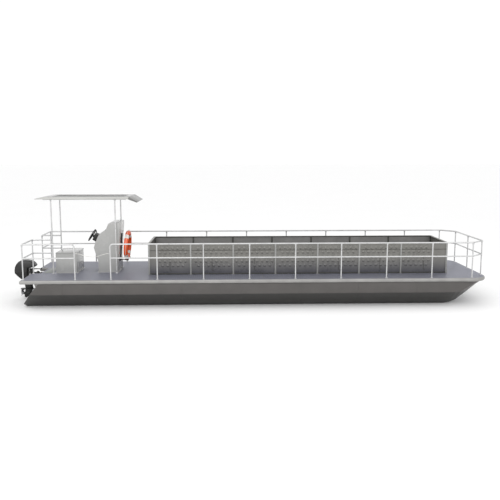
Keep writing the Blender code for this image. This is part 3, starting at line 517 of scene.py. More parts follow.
class BoatColours(bpy.types.PropertyGroup):
    """Colours of the finishes, as linear values."""

    tube: FloatVectorProperty(
        name="Rail tube", description="Guard rails and posts", subtype="COLOR", default=(0.62, 0.62, 0.62)
    )
    deck: FloatVectorProperty(
        name="Deck", description="Chequered tread plate", subtype="COLOR", default=(0.23, 0.235, 0.285)
    )
    edge: FloatVectorProperty(
        name="Edge band", description="Band round the deck and bare sheet", subtype="COLOR", default=(0.33, 0.325, 0.315)
    )
    panel: FloatVectorProperty(
        name="Panels", description="Console and seat locker", subtype="COLOR", default=(0.37, 0.37, 0.36)
    )
    roof: FloatVectorProperty(
        name="Roof", description="Canopy roof", subtype="COLOR", default=(0.45, 0.45, 0.43)
    )
    # Painted shade: the roof's upward faces get this much darker colour, so the top reads darker than the sides.
    roof_top: FloatVectorProperty(
        name="Roof top", description="Upper face of the roof", subtype="COLOR", default=(0.060, 0.060, 0.055)
    )
    # Painted shade: the bent visor gets a darker grey than the roof, standing in for the shade on its forward, downward
    # face.
    visor: FloatVectorProperty(
        name="Visor", description="Bent front of the roof", subtype="COLOR", default=(0.16, 0.16, 0.155)
    )
    cover: FloatVectorProperty(
        name="Stern plate", description="Plain plate ahead of the notch", subtype="COLOR", default=(0.27, 0.285, 0.275)
    )
    bin_high: FloatVectorProperty(
        name="Bin, high", description="Upper part of the bin's walls", subtype="COLOR", default=(0.195, 0.19, 0.175)
    )
    bin_low: FloatVectorProperty(
        name="Bin, low", description="Lower part of the bin's walls", subtype="COLOR", default=(0.075, 0.075, 0.09)
    )
    bin_inside: FloatVectorProperty(
        name="Bin, inside", description="Inner faces and floor of the bin", subtype="COLOR", default=(0.26, 0.255, 0.25)
    )
    bin_post: FloatVectorProperty(
        name="Bin posts", description="Outer posts of the bin", subtype="COLOR", default=(0.33, 0.33, 0.32)
    )
    bin_rim: FloatVectorProperty(
        name="Bin rim", description="Flange along the bin's top", subtype="COLOR", default=(0.055, 0.055, 0.048)
    )
    hull_high: FloatVectorProperty(
        name="Hull, high", description="Pontoons above the chine", subtype="COLOR", default=(0.080, 0.074, 0.070)
    )
    # Painted shade: this darker colour below the chine stands in for the shade on the downward-facing lower strake.
    hull_low: FloatVectorProperty(
        name="Hull, low", description="Pontoons below the chine", subtype="COLOR", default=(0.030, 0.029, 0.027)
    )
    orange: FloatVectorProperty(
        name="Life ring", description="Life ring's shell", subtype="COLOR", default=(0.80, 0.095, 0.012)
    )
    white: FloatVectorProperty(
        name="White", description="Life ring's bands and the ropes", subtype="COLOR", default=(0.75, 0.74, 0.70)
    )
    black: FloatVectorProperty(
        name="Black", description="Outboard motor and mouldings", subtype="COLOR", default=(0.006, 0.006, 0.005)
    )


FINISHES = {}


def finish(key):
    """Return one of the boat's finishes, made when first asked for."""
    if key in FINISHES:
        return FINISHES[key]
    colours = bpy.context.scene.boat_colours
    sizes = bpy.context.scene.boat_sizes
    tone = {name: tuple(getattr(colours, name)) for name in BoatColours.__annotations__}
    makers = {
        "tube": lambda: tube_finish("polished tube", tone["tube"]),
        "deck": lambda: chequer_finish("chequer plate", tone["deck"], sizes.tread_pitch),
        "edge": lambda: mill_finish("mill aluminium", tone["edge"]),
        "frame": lambda: mill_finish("deck beams", shade(tone["edge"], 0.7)),
        "panel": lambda: paint_finish("grey gloss paint", tone["panel"], 0.22, 0.92, 0.4),
        # Painted shade: the panel paint darkened to 0.55, put on the upward faces of the seat lid and the console so
        # their tops read darker than their sides.
        "lid": lambda: paint_finish("lid gloss paint", shade(tone["panel"], 0.55), 0.14, 0.9, 0.6),
        "roof": lambda: paint_finish("roof paint", tone["roof"], 0.28, 0.95, 0.3),
        # Painted shade on the roof's upward faces.
        "roof top": lambda: paint_finish("roof top paint", tone["roof_top"], 0.18, 0.85, 0.4),
        # Painted shade on the visor.
        "visor": lambda: paint_finish("visor paint", tone["visor"], 0.3, 0.9, 0.2),
        "cover": lambda: mill_finish("stern plate", tone["cover"]),
        "zinc": lambda: mill_finish("zinc", (0.42, 0.43, 0.44), 0.3, (0.5, 0.7)),
        "bin": lambda: height_finish(
            "bin sheet", tone["bin_low"], tone["bin_high"], DECK_Z + 0.02, DECK_Z + 0.45, 0.30, 0.2
        ),
        "bin inside": lambda: mill_finish("bin inside", tone["bin_inside"], 0.3),
        "bin post": lambda: mill_finish("bin post", tone["bin_post"], 0.3),
        "bin rim": lambda: mill_finish("bin rim", tone["bin_rim"], 0.2),
        # Hull paint with painted shade: the pontoons turn darker below the chine, standing in for the shade on the
        # lower strake.
        "hull": lambda: height_finish("hull paint", tone["hull_low"], tone["hull_high"], 0.364, 0.384, 0.38),
        "orange": lambda: paint_finish("ring shell", tone["orange"], 0.42, 0.85),
        "white": lambda: paint_finish("white band", tone["white"], 0.5, 0.9),
        "rope": lambda: rope_finish("laid rope", tone["white"], 0.012),
        "black gloss": lambda: paint_finish("black gloss", tone["black"], 0.32, 0.7, 0.15),
        "black": lambda: grained_finish("black moulding", tone["black"], 0.5),
        "propeller": lambda: tube_finish("propeller steel", (0.30, 0.30, 0.31)),
        "steel": lambda: tube_finish("stainless steel", (0.55, 0.55, 0.56)),
        "glass": lambda: paint_finish("dial glass", (0.03, 0.03, 0.035), 0.06, 0.9, 1.0),
    }
    FINISHES[key] = makers[key]()
    return FINISHES[key]


class BOAT_OT_hulls(bpy.types.Operator):
    """Round the pontoons' edges, paint them, and add plate seams, zinc blocks and drain plugs"""

    bl_idname = "boat.hulls"
    bl_label = "Hulls"

    def execute(self, context):
        for name, side in SIDES:
            hull = finer("hull_" + name, "pontoon_" + name, 0.014, 3, 12.0)
            hand_over(smooth(hull, 30.0), finish("hull"), "boat", ["hull_" + name])
            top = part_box("hull_" + name)[1].z
            seams = []
            for distance in (1.05, 2.55, 4.05, 5.55, 7.05, 8.55, 10.05):
                x = station(distance)
                outer = [(x, side * 1.430, top - 0.004), (x, side * 1.430, 0.380), (x, side * 1.425, 0.368)]
                outer += [(x, side * 1.006, 0.004), (x, side * 0.995, -0.0005), (x, side * 0.725, -0.0005)]
                outer += [(x, side * 0.715, 0.004), (x, side * 0.553, 0.368), (x, side * 0.550, 0.380)]
                outer.append((x, side * 0.550, top - 0.004))
                path = [Vector(point) + Vector((0.0, 0.0, 0.0015)) for point in outer]
                seams.append(bent_tube("seam", path, 0.0035, 2))
            for y in (side * 1.4285, side * 0.5515):
                seams.append(tube("chine weld", (station(0.36), y, 0.374), (station(11.0), y, 0.374), 0.0045, 8))
            hand_over(smooth(join("hull_seams_" + name, seams)), finish("hull"), "boat", ())
            zincs = []
            plugs = []
            back = Vector((-1.0, 0.0, 0.84)).normalized()
            for height, y in ((0.480, 1.300), (0.480, 0.680)):
                x = station(0.456 - (top - height) * 0.84)
                seat = Vector((x, side * y, height)) + back * 0.0005
                zincs.append(tube("zinc", seat, seat + back * 0.020, 0.042, 24, 0.036))
                zincs += bolt(seat + back * 0.020, back, 0.007)
            for height, y in ((0.200, 0.850),):
                x = station(0.456 - (top - height) * 0.84)
                seat = Vector((x, side * y, height)) + back * 0.0005
                plugs.append(tube("plug flange", seat, seat + back * 0.004, 0.030, 24, 0.028))
                plugs.append(tube("plug", seat + back * 0.003, seat + back * 0.014, 0.016, 6))
            hand_over(smooth(join("hull_zincs_" + name, zincs)), finish("zinc"), "boat", ())
            hand_over(smooth(join("drain_plug_" + name, plugs)), finish("steel"), "boat", ())
        return {"FINISHED"}


def deck_outline(steps):
    """Return the deck plate's outline, counterclockwise from the notch's starboard corner."""
    notch_x = station(0.260)
    notch_y = 0.420
    radius = 0.420
    low = Vector((station(0.030), PLATE_LOW.y, 0.0))
    high = PLATE_HIGH
    points = [(low.x, -notch_y), (low.x, low.y)]
    points += arc((high.x - radius, low.y + radius), radius, -90, 0, steps)
    points += arc((high.x - radius, high.y - radius), radius, 0, 90, steps)
    points += [(low.x, high.y), (low.x, notch_y), (notch_x, notch_y), (notch_x, -notch_y)]
    return points


def offset(outline, distance):
    """Move a counterclockwise outline outwards with mitred corners."""
    moved = []
    for index, point in enumerate(outline):
        here = Vector(point)
        first = (here - Vector(outline[index - 1])).normalized()
        second = (Vector(outline[(index + 1) % len(outline)]) - here).normalized()
        normals = Vector((first.y + second.y, -first.x - second.x))
        moved.append(here + normals * distance / (1 + first.dot(second)))
    return moved


def band(name, outline, profile):
    """Return a closed band whose profile of (distance out, height) runs round an outline."""
    shape = bmesh.new()
    rings = [[shape.verts.new((*p, z)) for p in offset(outline, out)] for out, z in profile]
    for row, ring in enumerate(rings):
        after = rings[(row + 1) % len(rings)]
        for index in range(len(outline)):
            right = (index + 1) % len(outline)
            shape.faces.new((ring[index], ring[right], after[right], after[index]))
    bmesh.ops.recalc_face_normals(shape, faces=shape.faces)
    mesh = bpy.data.meshes.new(name)
    shape.to_mesh(mesh)
    shape.free()
    item = bpy.data.objects.new(name, mesh)
    bpy.context.scene.collection.objects.link(item)
    return item


class BOAT_OT_deck(bpy.types.Operator):
    """Finish the chequered deck, its half-round band, beams, weld seams and stern plate"""

    bl_idname = "boat.deck"
    bl_label = "Deck"

    def execute(self, context):
        for node in ("deck_plate", "deck_plate_stern_port", "deck_plate_stern_starboard"):
            tread = finer(node, node.replace("deck_plate", "tread_plate"), 0.001, 1)
            hand_over(tread, finish("deck"), "boat", [node])
        lengths = [node for node in frame["nodes"] if node.startswith("deck_edge_")]
        low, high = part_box("deck_edge_port")
        bulge = high.y - PLATE_HIGH.y - 0.0003
        middle = (low.z + high.z) / 2
        half = (high.z - low.z) / 2
        profile = [(0.0004, high.z), (0.0004, low.z)]
        for out, up in arc((0.0, 0.0), 1.0, -82, 82, 14):
            profile.append((bulge * out, middle + half * up))
        edge = band("rubbing_band", deck_outline(24), profile)
        hand_over(smooth(edge, 40.0), finish("edge"), "boat", lengths)
        welds = []
        for distance in (1.62, 3.12, 4.62, 6.12, 7.62, 9.12, 10.62):
            x = station(distance)
            bead = [(x, -PLATE_HIGH.y + 0.002, DECK_Z - 0.0015), (x, PLATE_HIGH.y - 0.002, DECK_Z - 0.0015)]
            welds.append(bent_tube("bead", bead, 0.0045, 2))
            for _, side in SIDES:
                joint = [(x, side * (PLATE_HIGH.y + bulge * out + 0.0006), middle + half * up)
                         for out, up in arc((0.0, 0.0), 1.0, -70, 70, 8)]
                welds.append(bent_tube("band joint", joint, 0.0016, 1))
        hand_over(smooth(join("deck_welds", welds)), finish("edge"), "boat", ())
        for node in ("deck_frame", "deck_frame_stern_port", "deck_frame_stern_starboard"):
            beams = finer(node, node.replace("deck_frame", "deck_beams"), 0.003, 1)
            hand_over(smooth(beams), finish("frame"), "boat", [node])
        low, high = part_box("stern_plate")
        cover = block("stern_cover", low, high, 0.002)
        screws = []
        for x in (low.x + 0.02, high.x - 0.02):
            for index in range(5):
                y = low.y + 0.03 + (high.y - low.y - 0.06) * index / 4
                screws.append(tube("screw", (x, y, high.z - 0.001), (x, y, high.z + 0.002), 0.006, 12, 0.004))
        hand_over(smooth(cover), finish("cover"), "boat", ["stern_plate"])
        hand_over(smooth(join("stern_cover_screws", screws)), finish("steel"), "boat", ())
        return {"FINISHED"}


def rail_tube(start, end, radius=0.019):
    """Return one straight rail tube."""
    return tube("rail", start, end, radius, bpy.context.scene.boat_sizes.tube_sides)


def rail_foot(x, y):
    """Return the flange, weld and two bolts at the foot of a post."""
    base = DECK_Z + 0.0006
    pieces = [
        tube("foot", (x, y, base), (x, y, base + 0.006), 0.034, 24, 0.033),
        tube("weld", (x, y, base + 0.005), (x, y, base + 0.014), 0.025, 20, 0.0165),
    ]
    for way in (-1.0, 1.0):
        pieces += bolt((x + way * 0.0265, y, base + 0.006), (0, 0, 1), 0.0035)
    return pieces


def rail_post(x, y, top):
    """Return a rail post with its foot and the flared saddle under the top bar."""
    base = DECK_Z + 0.0006
    pieces = [rail_tube((x, y, base), (x, y, top), 0.0165)]
    pieces.append(tube("saddle", (x, y, top - 0.070), (x, y, top - 0.010), 0.0165, 16, 0.0255))
    return pieces + rail_foot(x, y)


def hooped(post_x, far_x, y, top, bend=0.080):
    """Return the path of a top bar that bends down into its own post."""
    way = math.copysign(1.0, far_x - post_x)
    points = [(post_x, y, DECK_Z + 0.0006)]
    for across, up in arc((0.0, 0.0), bend, 0, 90, 12):
        points.append((post_x + way * (bend - across), y, top - bend + up))
    points.append((far_x, y, top))
    return points


def gate_eye(x, way, y, z):
    """Return the welded eye that a gate rope ends on."""
    stem = tube("eye stem", (x, y, z), (x + way * 0.041, y, z), 0.008, 14)
    collar = tube("eye collar", (x + way * 0.017, y, z), (x + way * 0.024, y, z), 0.013, 16, 0.008)
    tip = tube("eye tip", (x + way * 0.034, y, z), (x + way * 0.0408, y, z), 0.0105, 16, 0.009)
    return [stem, collar, tip]


class BOAT_OT_rails(bpy.types.Operator):
    """Make the guard rails from round tube, with feet, welds, saddles and rope eyes"""

    bl_idname = "boat.rails"
    bl_label = "Guard rails"

    def execute(self, context):
        low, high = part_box("rail_side_fore_port")
        top = high.z - 0.019
        mid = DECK_Z + 0.548
        eye_z = DECK_Z + 0.665
        y_rail = (low.y + high.y) / 2
        aft = station(2.264)
        corner = station(11.485)
        bow = station(11.848)
        gate = station(1.369)
        stern = station(0.075)
        splice = station(2.264 + 1.168 * 4 + 0.030)
        metal = finish("tube")
        for name, side in SIDES:
            y = side * y_rail
            pieces = [bent_tube("hoop", hooped(aft, corner, y, top), 0.019)]
            pieces.append(rail_tube((aft, y, mid), (corner, y, mid), 0.0175))
            for index in range(1, 8):
                pieces += rail_post(aft + 1.168 * index, y, top)
                x = aft + 1.168 * index
                pieces.append(tube("collar", (x, y, mid - 0.022), (x, y, mid + 0.022), 0.0195, 16))
            pieces += rail_post(corner, y, top)
            pieces += gate_eye(aft, -1.0, y, eye_z) + rail_foot(aft, y)
            for z, radius in ((top, 0.0202), (mid, 0.0187)):
                pieces.append(tube("sleeve", (splice - 0.028, y, z), (splice + 0.028, y, z), radius, 24))
            rail = smooth(join("guard_rail_" + name, pieces))
            nodes = ["rail_side_aft_" + name, "rail_side_fore_" + name]
            hand_over(rail, metal, "boat", nodes)
            pieces = [bent_tube("hoop", hooped(gate, stern, y, top), 0.019)]
            pieces.append(rail_tube((gate, y, mid), (stern, y, mid), 0.0175))
            pieces += rail_post(stern, y, top) + rail_foot(gate, y)
            pieces += gate_eye(gate, 1.0, y, eye_z)
            rail = smooth(join("quarter_rail_" + name, pieces))
            hand_over(rail, metal, "boat", ["rail_quarter_" + name])
            inner = side * 0.460
            outer = side * (y_rail - 0.0195)
            fore = station(0.602) - 0.0175
            pieces = rail_post(stern, inner, top)
            for z, radius in ((top, 0.019), (mid, 0.0175)):
                path = [(stern, outer, z), (stern, inner + side * 0.03, z)]
                path += [(stern + 0.009, inner + side * 0.009, z), (stern + 0.03, inner, z), (fore, inner, z)]
                pieces.append(bent_tube("bar", path, radius))
                pieces.append(tube("weld", (fore - 0.012, inner, z), (fore, inner, z), radius, 20, radius + 0.006))
            rail = smooth(join("stern_rail_" + name, pieces))
            hand_over(rail, metal, "boat", ["rail_stern_" + name])
        pieces = []
        for y in (-1.0, 0.0, 1.0):
            pieces += rail_post(bow, y, top)
        lean = Vector((bow - corner, y_rail - 1.0)).normalized() * 0.0205
        for z, radius in ((top, 0.019), (mid, 0.0175)):
            path = [(corner + lean.x, -(y_rail - lean.y), z), (bow, -1.0, z)]
            path += [(bow, 1.0, z), (corner + lean.x, y_rail - lean.y, z)]
            pieces.append(bent_tube("bar", path, radius))
        hand_over(smooth(join("bow_rail", pieces)), metal, "boat", ["rail_bow"])
        return {"FINISHED"}


class BOAT_OT_gate_ropes(bpy.types.Operator):
    """Hang the thin ropes across the two boarding gaps"""

    bl_idname = "boat.gate_ropes"
    bl_label = "Gate ropes"

    def execute(self, context):
        sag = 0.085
        radius = 0.006
        reach = 0.0413
        first = station(1.369) + reach
        last = station(2.264) - reach
        steps = 36
        for name, side in SIDES:
            low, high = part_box("gate_rope_" + name)
            y = (low.y + high.y) / 2
            top = high.z - radius
            points = []
            for index in range(steps + 1):
                hanging = min(max((index - 1) / (steps - 2), 0.0), 1.0)
                drop = sag * math.sin(math.pi * hanging) ** 1.4
                points.append(Vector((first + (last - first) * index / steps, y, top - drop)))
            rope = bent_tube("gate_line_" + name, points, radius, 4)
            hand_over(smooth(rope, 60.0), finish("rope"), "boat", ["gate_rope_" + name])
        return {"FINISHED"}


def pressed_dome(radius, height, way):
    """Return a low dome pressed out of a sheet, with a soft lip, facing +Y or -Y."""
    deselect()
    bpy.ops.mesh.primitive_circle_add(vertices=16, radius=radius, fill_type="NGON")
    bpy.ops.object.mode_set(mode="EDIT")
    bpy.ops.mesh.select_mode(type="FACE")
    bpy.ops.mesh.select_all(action="SELECT")
    # Columns: share of the radius drawn in, share of the height drawn out
    for inward, outward in ((0.14, 0.08), (0.18, 0.32), (0.22, 0.36), (0.24, 0.20)):
        bpy.ops.mesh.inset(thickness=radius * inward, depth=height * outward)
    bpy.ops.mesh.select_mode(type="EDGE")
    bpy.ops.mesh.select_all(action="DESELECT")
    bpy.ops.mesh.select_non_manifold()
    bpy.ops.mesh.edge_face_add()
    bpy.ops.mesh.select_all(action="SELECT")
    bpy.ops.mesh.normals_make_consistent(inside=False)
    bpy.ops.object.mode_set(mode="OBJECT")
    item = settle("dome")
    item.data.transform(Matrix.Rotation(math.radians(-90.0 * way), 4, "X"))
    return item


class BOAT_OT_bin(bpy.types.Operator):
    """Make the bin: walls with rows of pressed domes, posts, ribs, stays, rims and floor"""

    bl_idname = "boat.bin"
    bl_label = "Bin"

    def execute(self, context):
        sizes = context.scene.boat_sizes
        low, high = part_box("bin_side_port")
        half = (low.y + high.y) / 2
        base = low.z
        top = high.z
        aft = station(BIN_POSTS[0])
        fore = station(BIN_POSTS[-1])
        post = 0.022
        skin = sizes.sheet / 2
        domes = []
        for row in range(5):
            x = station(3.440) + (0.5 if row % 2 == 0 else 0.0) * sizes.dome_pitch
            while x < station(10.560):
                clear = min(abs(x - station(distance)) for distance in BIN_POSTS) - post
                if clear > sizes.dome_radius + 0.003:
                    domes.append((x, DECK_Z + 0.690 - 0.115 * row))
                x += sizes.dome_pitch
        for name, side in SIDES:
            y = side * half
            sheet = block("sheet", (aft, y - skin, base), (fore, y + skin, top - 0.012))
            dome = pressed_dome(sizes.dome_radius, sizes.dome_height, side)
            pressed = copies(dome, [Vector((x, y + side * (skin - 0.0003), z)) for x, z in domes])
            bpy.data.objects.remove(dome)
            wall = smooth(join("bin_wall_" + name, [sheet] + pressed), 50.0)
            hand_over(wall, finish("bin"), "boat", ["bin_side_" + name])
            inward = -side
            paint_some(wall, finish("bin inside"), lambda face: face.normal.y * inward > 0.9 and face.area > 0.1)
            outside = []
            inside = []
            for distance in BIN_POSTS:
                x = station(distance)
                faces = sorted((y + side * skin * 0.5, y + side * post))
                outside.append(block("post", (x - post, faces[0], base), (x + post, faces[1], top - 0.007), 0.004, 2))
                faces = sorted((y - side * skin * 0.5, y - side * post))
                inside.append(block("post", (x - post, faces[0], base), (x + post, faces[1], top - 0.007), 0.004, 2))
                foot = sorted((y + side * post, y + side * (post + 0.030)))
                outside.append(block("foot", (x - 0.03, foot[0], base), (x + 0.03, foot[1], base + 0.006), 0.002, 1))
                spot = (x, y + side * (post + 0.016), base + 0.006)
                outside += bolt(spot, (0, 0, 1), 0.005)
            hand_over(smooth(join("bin_posts_" + name, outside)), finish("bin post"), "boat", ())
            hand_over(smooth(join("bin_inner_posts_" + name, inside)), finish("bin rim"), "boat", ())
            rim = post + 0.006
            bars = [block("rim", (aft - rim, y - rim, top - 0.022), (fore + rim, y + rim, top), 0.004, 2)]
            hand_over(smooth(join("bin_rim_" + name, bars)), finish("bin rim"), "boat", ())
            lip = sorted((y, y + side * (skin + 0.010)))
            bars = [block("rib", (aft, lip[0], DECK_Z + 0.6335), (fore, lip[1], DECK_Z + 0.6425), 0.0015, 2)]
            lip = sorted((y - side * 0.012, y + side * 0.016))
            bars.append(block("sill", (aft, lip[0], base + 0.004), (fore, lip[1], base + 0.034), 0.003, 2))
            for before, after in zip(BIN_POSTS, BIN_POSTS[1:]):
                x = station((before + after) / 2)
                out = y + side * 0.0075
                path = [(x, out, DECK_Z + 0.42), (x, out, DECK_Z + 0.13), (x + 0.008, out, DECK_Z + 0.105)]
                path += [(x + 0.025, out, DECK_Z + 0.098), (x + 0.05, out, DECK_Z + 0.098)]
                bars.append(bent_tube("stay", path, 0.005, 3))
            hand_over(smooth(join("bin_ribs_" + name, bars)), finish("bin rim"), "boat", ())
        for end, x, way in (("aft", aft, -1.0), ("fore", fore, 1.0)):
            wall = finer("bin_end_" + end, "bin_endwall_" + end, 0.003, 2)
            dome = pressed_dome(sizes.dome_radius, sizes.dome_height, 1.0)
            dome.data.transform(Matrix.Rotation(math.radians(-90.0 * way), 4, "Z"))
            spots = []
            for row in range(5):
                for column in range(-5, 6):
                    y = (column + (0.5 if row % 2 == 0 else 0.0)) * 0.126
                    if 0.075 < abs(y) < 0.60:
                        spots.append(Vector((x + way * 0.0037, y, DECK_Z + 0.690 - 0.115 * row)))
            pressed = copies(dome, spots)
            bpy.data.objects.remove(dome)
            wall = smooth(join("bin_endwall_" + end, [wall] + pressed), 50.0)
            hand_over(wall, finish("bin"), "boat", ["bin_end_" + end])
        floor = finer("bin_floor", "bin_bottom", 0.002, 1)
        low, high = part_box("bin_floor")
        ribs = []
        for distance in BIN_POSTS[1:-1]:
            x = station(distance)
            ribs.append(block("rib", (x - 0.02, low.y, high.z - 0.001), (x + 0.02, high.y, high.z + 0.006), 0.003, 2))
        floor = smooth(join("bin_bottom", [floor] + ribs))
        hand_over(floor, finish("bin inside"), "boat", ["bin_floor"])
        return {"FINISHED"}


class BOAT_OT_canopy(bpy.types.Operator):
    """Make the canopy's posts with their flanges, the bearers and the roof with its bent visor"""

    bl_idname = "boat.canopy"
    bl_label = "Canopy"

    def execute(self, context):
        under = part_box("canopy_post_aft_port")[1].z
        for end in ("aft", "fore"):
            for name, side in SIDES:
                node = "canopy_post_" + end + "_" + name
                low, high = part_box(node)
                x = (low.x + high.x) / 2
                y = (low.y + high.y) / 2
                base = low.z
                pieces = [
                    tube("pole", (x, y, base), (x, y, under), 0.017, 28),
                    tube("foot", (x, y, base), (x, y, base + 0.008), 0.040, 32, 0.039),
                    tube("weld", (x, y, base + 0.007), (x, y, base + 0.018), 0.026, 24, 0.017),
                    tube("cap weld", (x, y, under - 0.036), (x, y, under - 0.024), 0.017, 24, 0.024),
                    tube("cap", (x, y, under - 0.024), (x, y, under - 0.018), 0.036, 32),
                ]
                head = join("bolt", bolt((x + 0.030, y, base + 0.008), (0, 0, 1), 0.0045))
                pieces += [head] + turned_copies(head, Vector((x, y, 0)), "Z", 4)
                post = smooth(join(node.replace("canopy_post", "canopy_pole"), pieces))
                hand_over(post, finish("tube"), "boat", [node])
        bearers = []
        for _, side in SIDES:
            y = side * 0.460
            start = (station(0.40), y - 0.018, under - 0.018)
            bearers.append(block("bearer", start, (station(2.56), y + 0.018, under + 0.002), 0.003, 2))
        for distance in (0.602, 1.156, 1.711, 2.265):
            x = station(distance)
            start = (x - 0.015, -0.442, under - 0.016)
            bearers.append(block("bearer", start, (x + 0.015, 0.442, under + 0.002), 0.003, 2))
        hand_over(smooth(join("roof_bearers", bearers)), finish("tube"), "boat", ())
        low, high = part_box("canopy_roof")
        bottom = under + 0.0003
        # Columns: station, height above the roof's flat underside
        deck_part = [(0.200, 0.000), (2.622, 0.000), (2.648, 0.0595), (2.640, 0.060), (0.470, 0.060)]
        deck_part += [(0.400, 0.053), (0.340, 0.044), (0.200, 0.010)]
        visor_part = [(2.6235, -0.004), (2.850, -0.090), (2.872, -0.072), (2.660, 0.058), (2.6495, 0.0595)]
        sheets = []
        for name, profile in (("roof", deck_part), ("visor", visor_part)):
            outline = [(station(along), bottom + up) for along, up in profile]
            sheets.append(plate(name, outline, low.y, high.y, "Y", 0.005, 3))
        roof, visor = sheets
        swages = []
        for y in (-0.33, -0.11, 0.11, 0.33):
            path = [(station(0.62), y, high.z - 0.0045), (station(2.50), y, high.z - 0.0045)]
            swages.append(bent_tube("swage", path, 0.009, 4))
        roof = smooth(join("canopy_top", [roof] + swages))
        hand_over(roof, finish("roof"), "boat", ["canopy_roof"])
        # Painted shade: faces pointing up take the much darker roof-top colour.
        paint_some(roof, finish("roof top"), lambda face: face.normal.z > 0.5)
        hand_over(smooth(visor), finish("visor"), "boat", ())
        rivets = []
        for _, side in SIDES:
            for index in range(14):
                x = station(0.40 + 0.165 * index)
                seat = Vector((x, side * (high.y - 0.0003), bottom + 0.020))
                rivets.append(tube("rivet", seat, seat + Vector((0, side * 0.0022, 0)), 0.0065, 12, 0.003))
        hand_over(smooth(join("roof_rivets", rivets)), finish("steel"), "boat", ())
        return {"FINISHED"}


def base_flange(low, high, width=0.026):
    """Return the bolted angle that runs round the foot of a box on the deck."""
    z = low.z
    pieces = []
    for y, way in ((low.y, -1.0), (high.y, 1.0)):
        ends = sorted((y, y + way * width))
        pieces.append(block("angle", (low.x - width, ends[0], z), (high.x + width, ends[1], z + 0.004), 0.0012, 1))
        count = max(2, round((high.x - low.x) / 0.16))
        for index in range(count + 1):
            x = low.x + (high.x - low.x) * index / count
            pieces += bolt((x, y + way * width * 0.55, z + 0.004), (0, 0, 1), 0.0042)
    for x, way in ((low.x, -1.0), (high.x, 1.0)):
        ends = sorted((x, x + way * width))
        pieces.append(block("angle", (ends[0], low.y, z), (ends[1], high.y, z + 0.004), 0.0012, 1))
    return pieces


class BOAT_OT_seat(bpy.types.Operator):
    """Make the seat locker and its glossy lid with piano hinge, hasp and base angle"""

    bl_idname = "boat.seat"
    bl_label = "Seat locker"

    def execute(self, context):
        locker = finer("seat_locker", "seat_box", 0.007, 3)
        hand_over(smooth(locker), finish("panel"), "boat", ["seat_locker"])
        box_low, box_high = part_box("seat_locker")
        fittings = base_flange(box_low, box_high)
        rim = box_high.z
        for index in range(22):
            y = -0.40 + 0.0381 * index
            if index % 2 == 0:
                start = (box_low.x - 0.004, y, rim)
                fittings.append(tube("knuckle", start, (box_low.x - 0.004, y + 0.034, rim), 0.0042, 10))
        leaf = (box_low.x - 0.0015, -0.40, rim - 0.030)
        fittings.append(block("leaf", leaf, (box_low.x + 0.001, 0.40, rim - 0.002), 0.0006, 1))
        staple = (box_high.x - 0.001, -0.022, rim - 0.085)
        fittings.append(block("staple plate", staple, (box_high.x + 0.003, 0.022, rim - 0.030), 0.001, 1))
        ring = [(box_high.x + 0.002, y, rim - 0.060 + z) for y, z in arc((0.0, 0.0), 0.008, -90, 90, 8)]
        ring = [(x + 0.010 * math.cos(i * math.pi / 8 - math.pi / 2), y, z) for i, (x, y, z) in enumerate(ring)]
        fittings.append(bent_tube("staple", ring, 0.0022, 3))
        for y in (-0.25, 0.25):
            for index in range(5):
                z = box_low.z + 0.13 + 0.022 * index
                slot = (box_high.x - 0.001, y - 0.06, z)
                fittings.append(block("louvre", slot, (box_high.x + 0.004, y + 0.06, z + 0.010), 0.003, 2))
        hand_over(smooth(join("seat_fittings", fittings)), finish("steel"), "boat", ())
        low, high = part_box("seat_lid")
        lid = block("seat_top", low, high, 0.009, 4)
        # Painted shade: the lid's top and bottom keep the darker lid paint, while its sides take the panel paint.
        hand_over(smooth(lid), finish("lid"), "lid", ["seat_lid"])
        paint_some(lid, finish("panel"), lambda face: abs(face.normal.z) < 0.3)
        hasp = [block("hasp", (high.x - 0.001, -0.014, low.z - 0.034), (high.x + 0.0025, 0.014, low.z + 0.022), 0.001, 1)]
        hasp += bolt((high.x + 0.0025, 0.0, low.z + 0.013), (1, 0, 0), 0.004)
        for index in range(21):
            y = -0.40 + 0.0381 * (index + 0.0)
            if index % 2 == 1:
                start = (box_low.x - 0.004, y, rim)
                hasp.append(tube("knuckle", start, (box_low.x - 0.004, y + 0.034, rim), 0.0042, 10))
        leaf = (box_low.x - 0.0015, -0.40, rim + 0.003)
        hasp.append(block("leaf", leaf, (box_low.x + 0.001, 0.40, rim + 0.026), 0.0006, 1))
        hand_over(smooth(join("lid_fittings", hasp)), finish("steel"), "lid", ())
        return {"FINISHED"}


def set_in(origin, along, out):
    """Return a matrix whose X runs along a face, whose Y is port and whose Z points out of it."""
    along = Vector(along).normalized()
    out = Vector(out).normalized()
    across = out.cross(along)
    turn = Matrix((along, across, out)).transposed().to_4x4()
    return Matrix.Translation(origin) @ turn


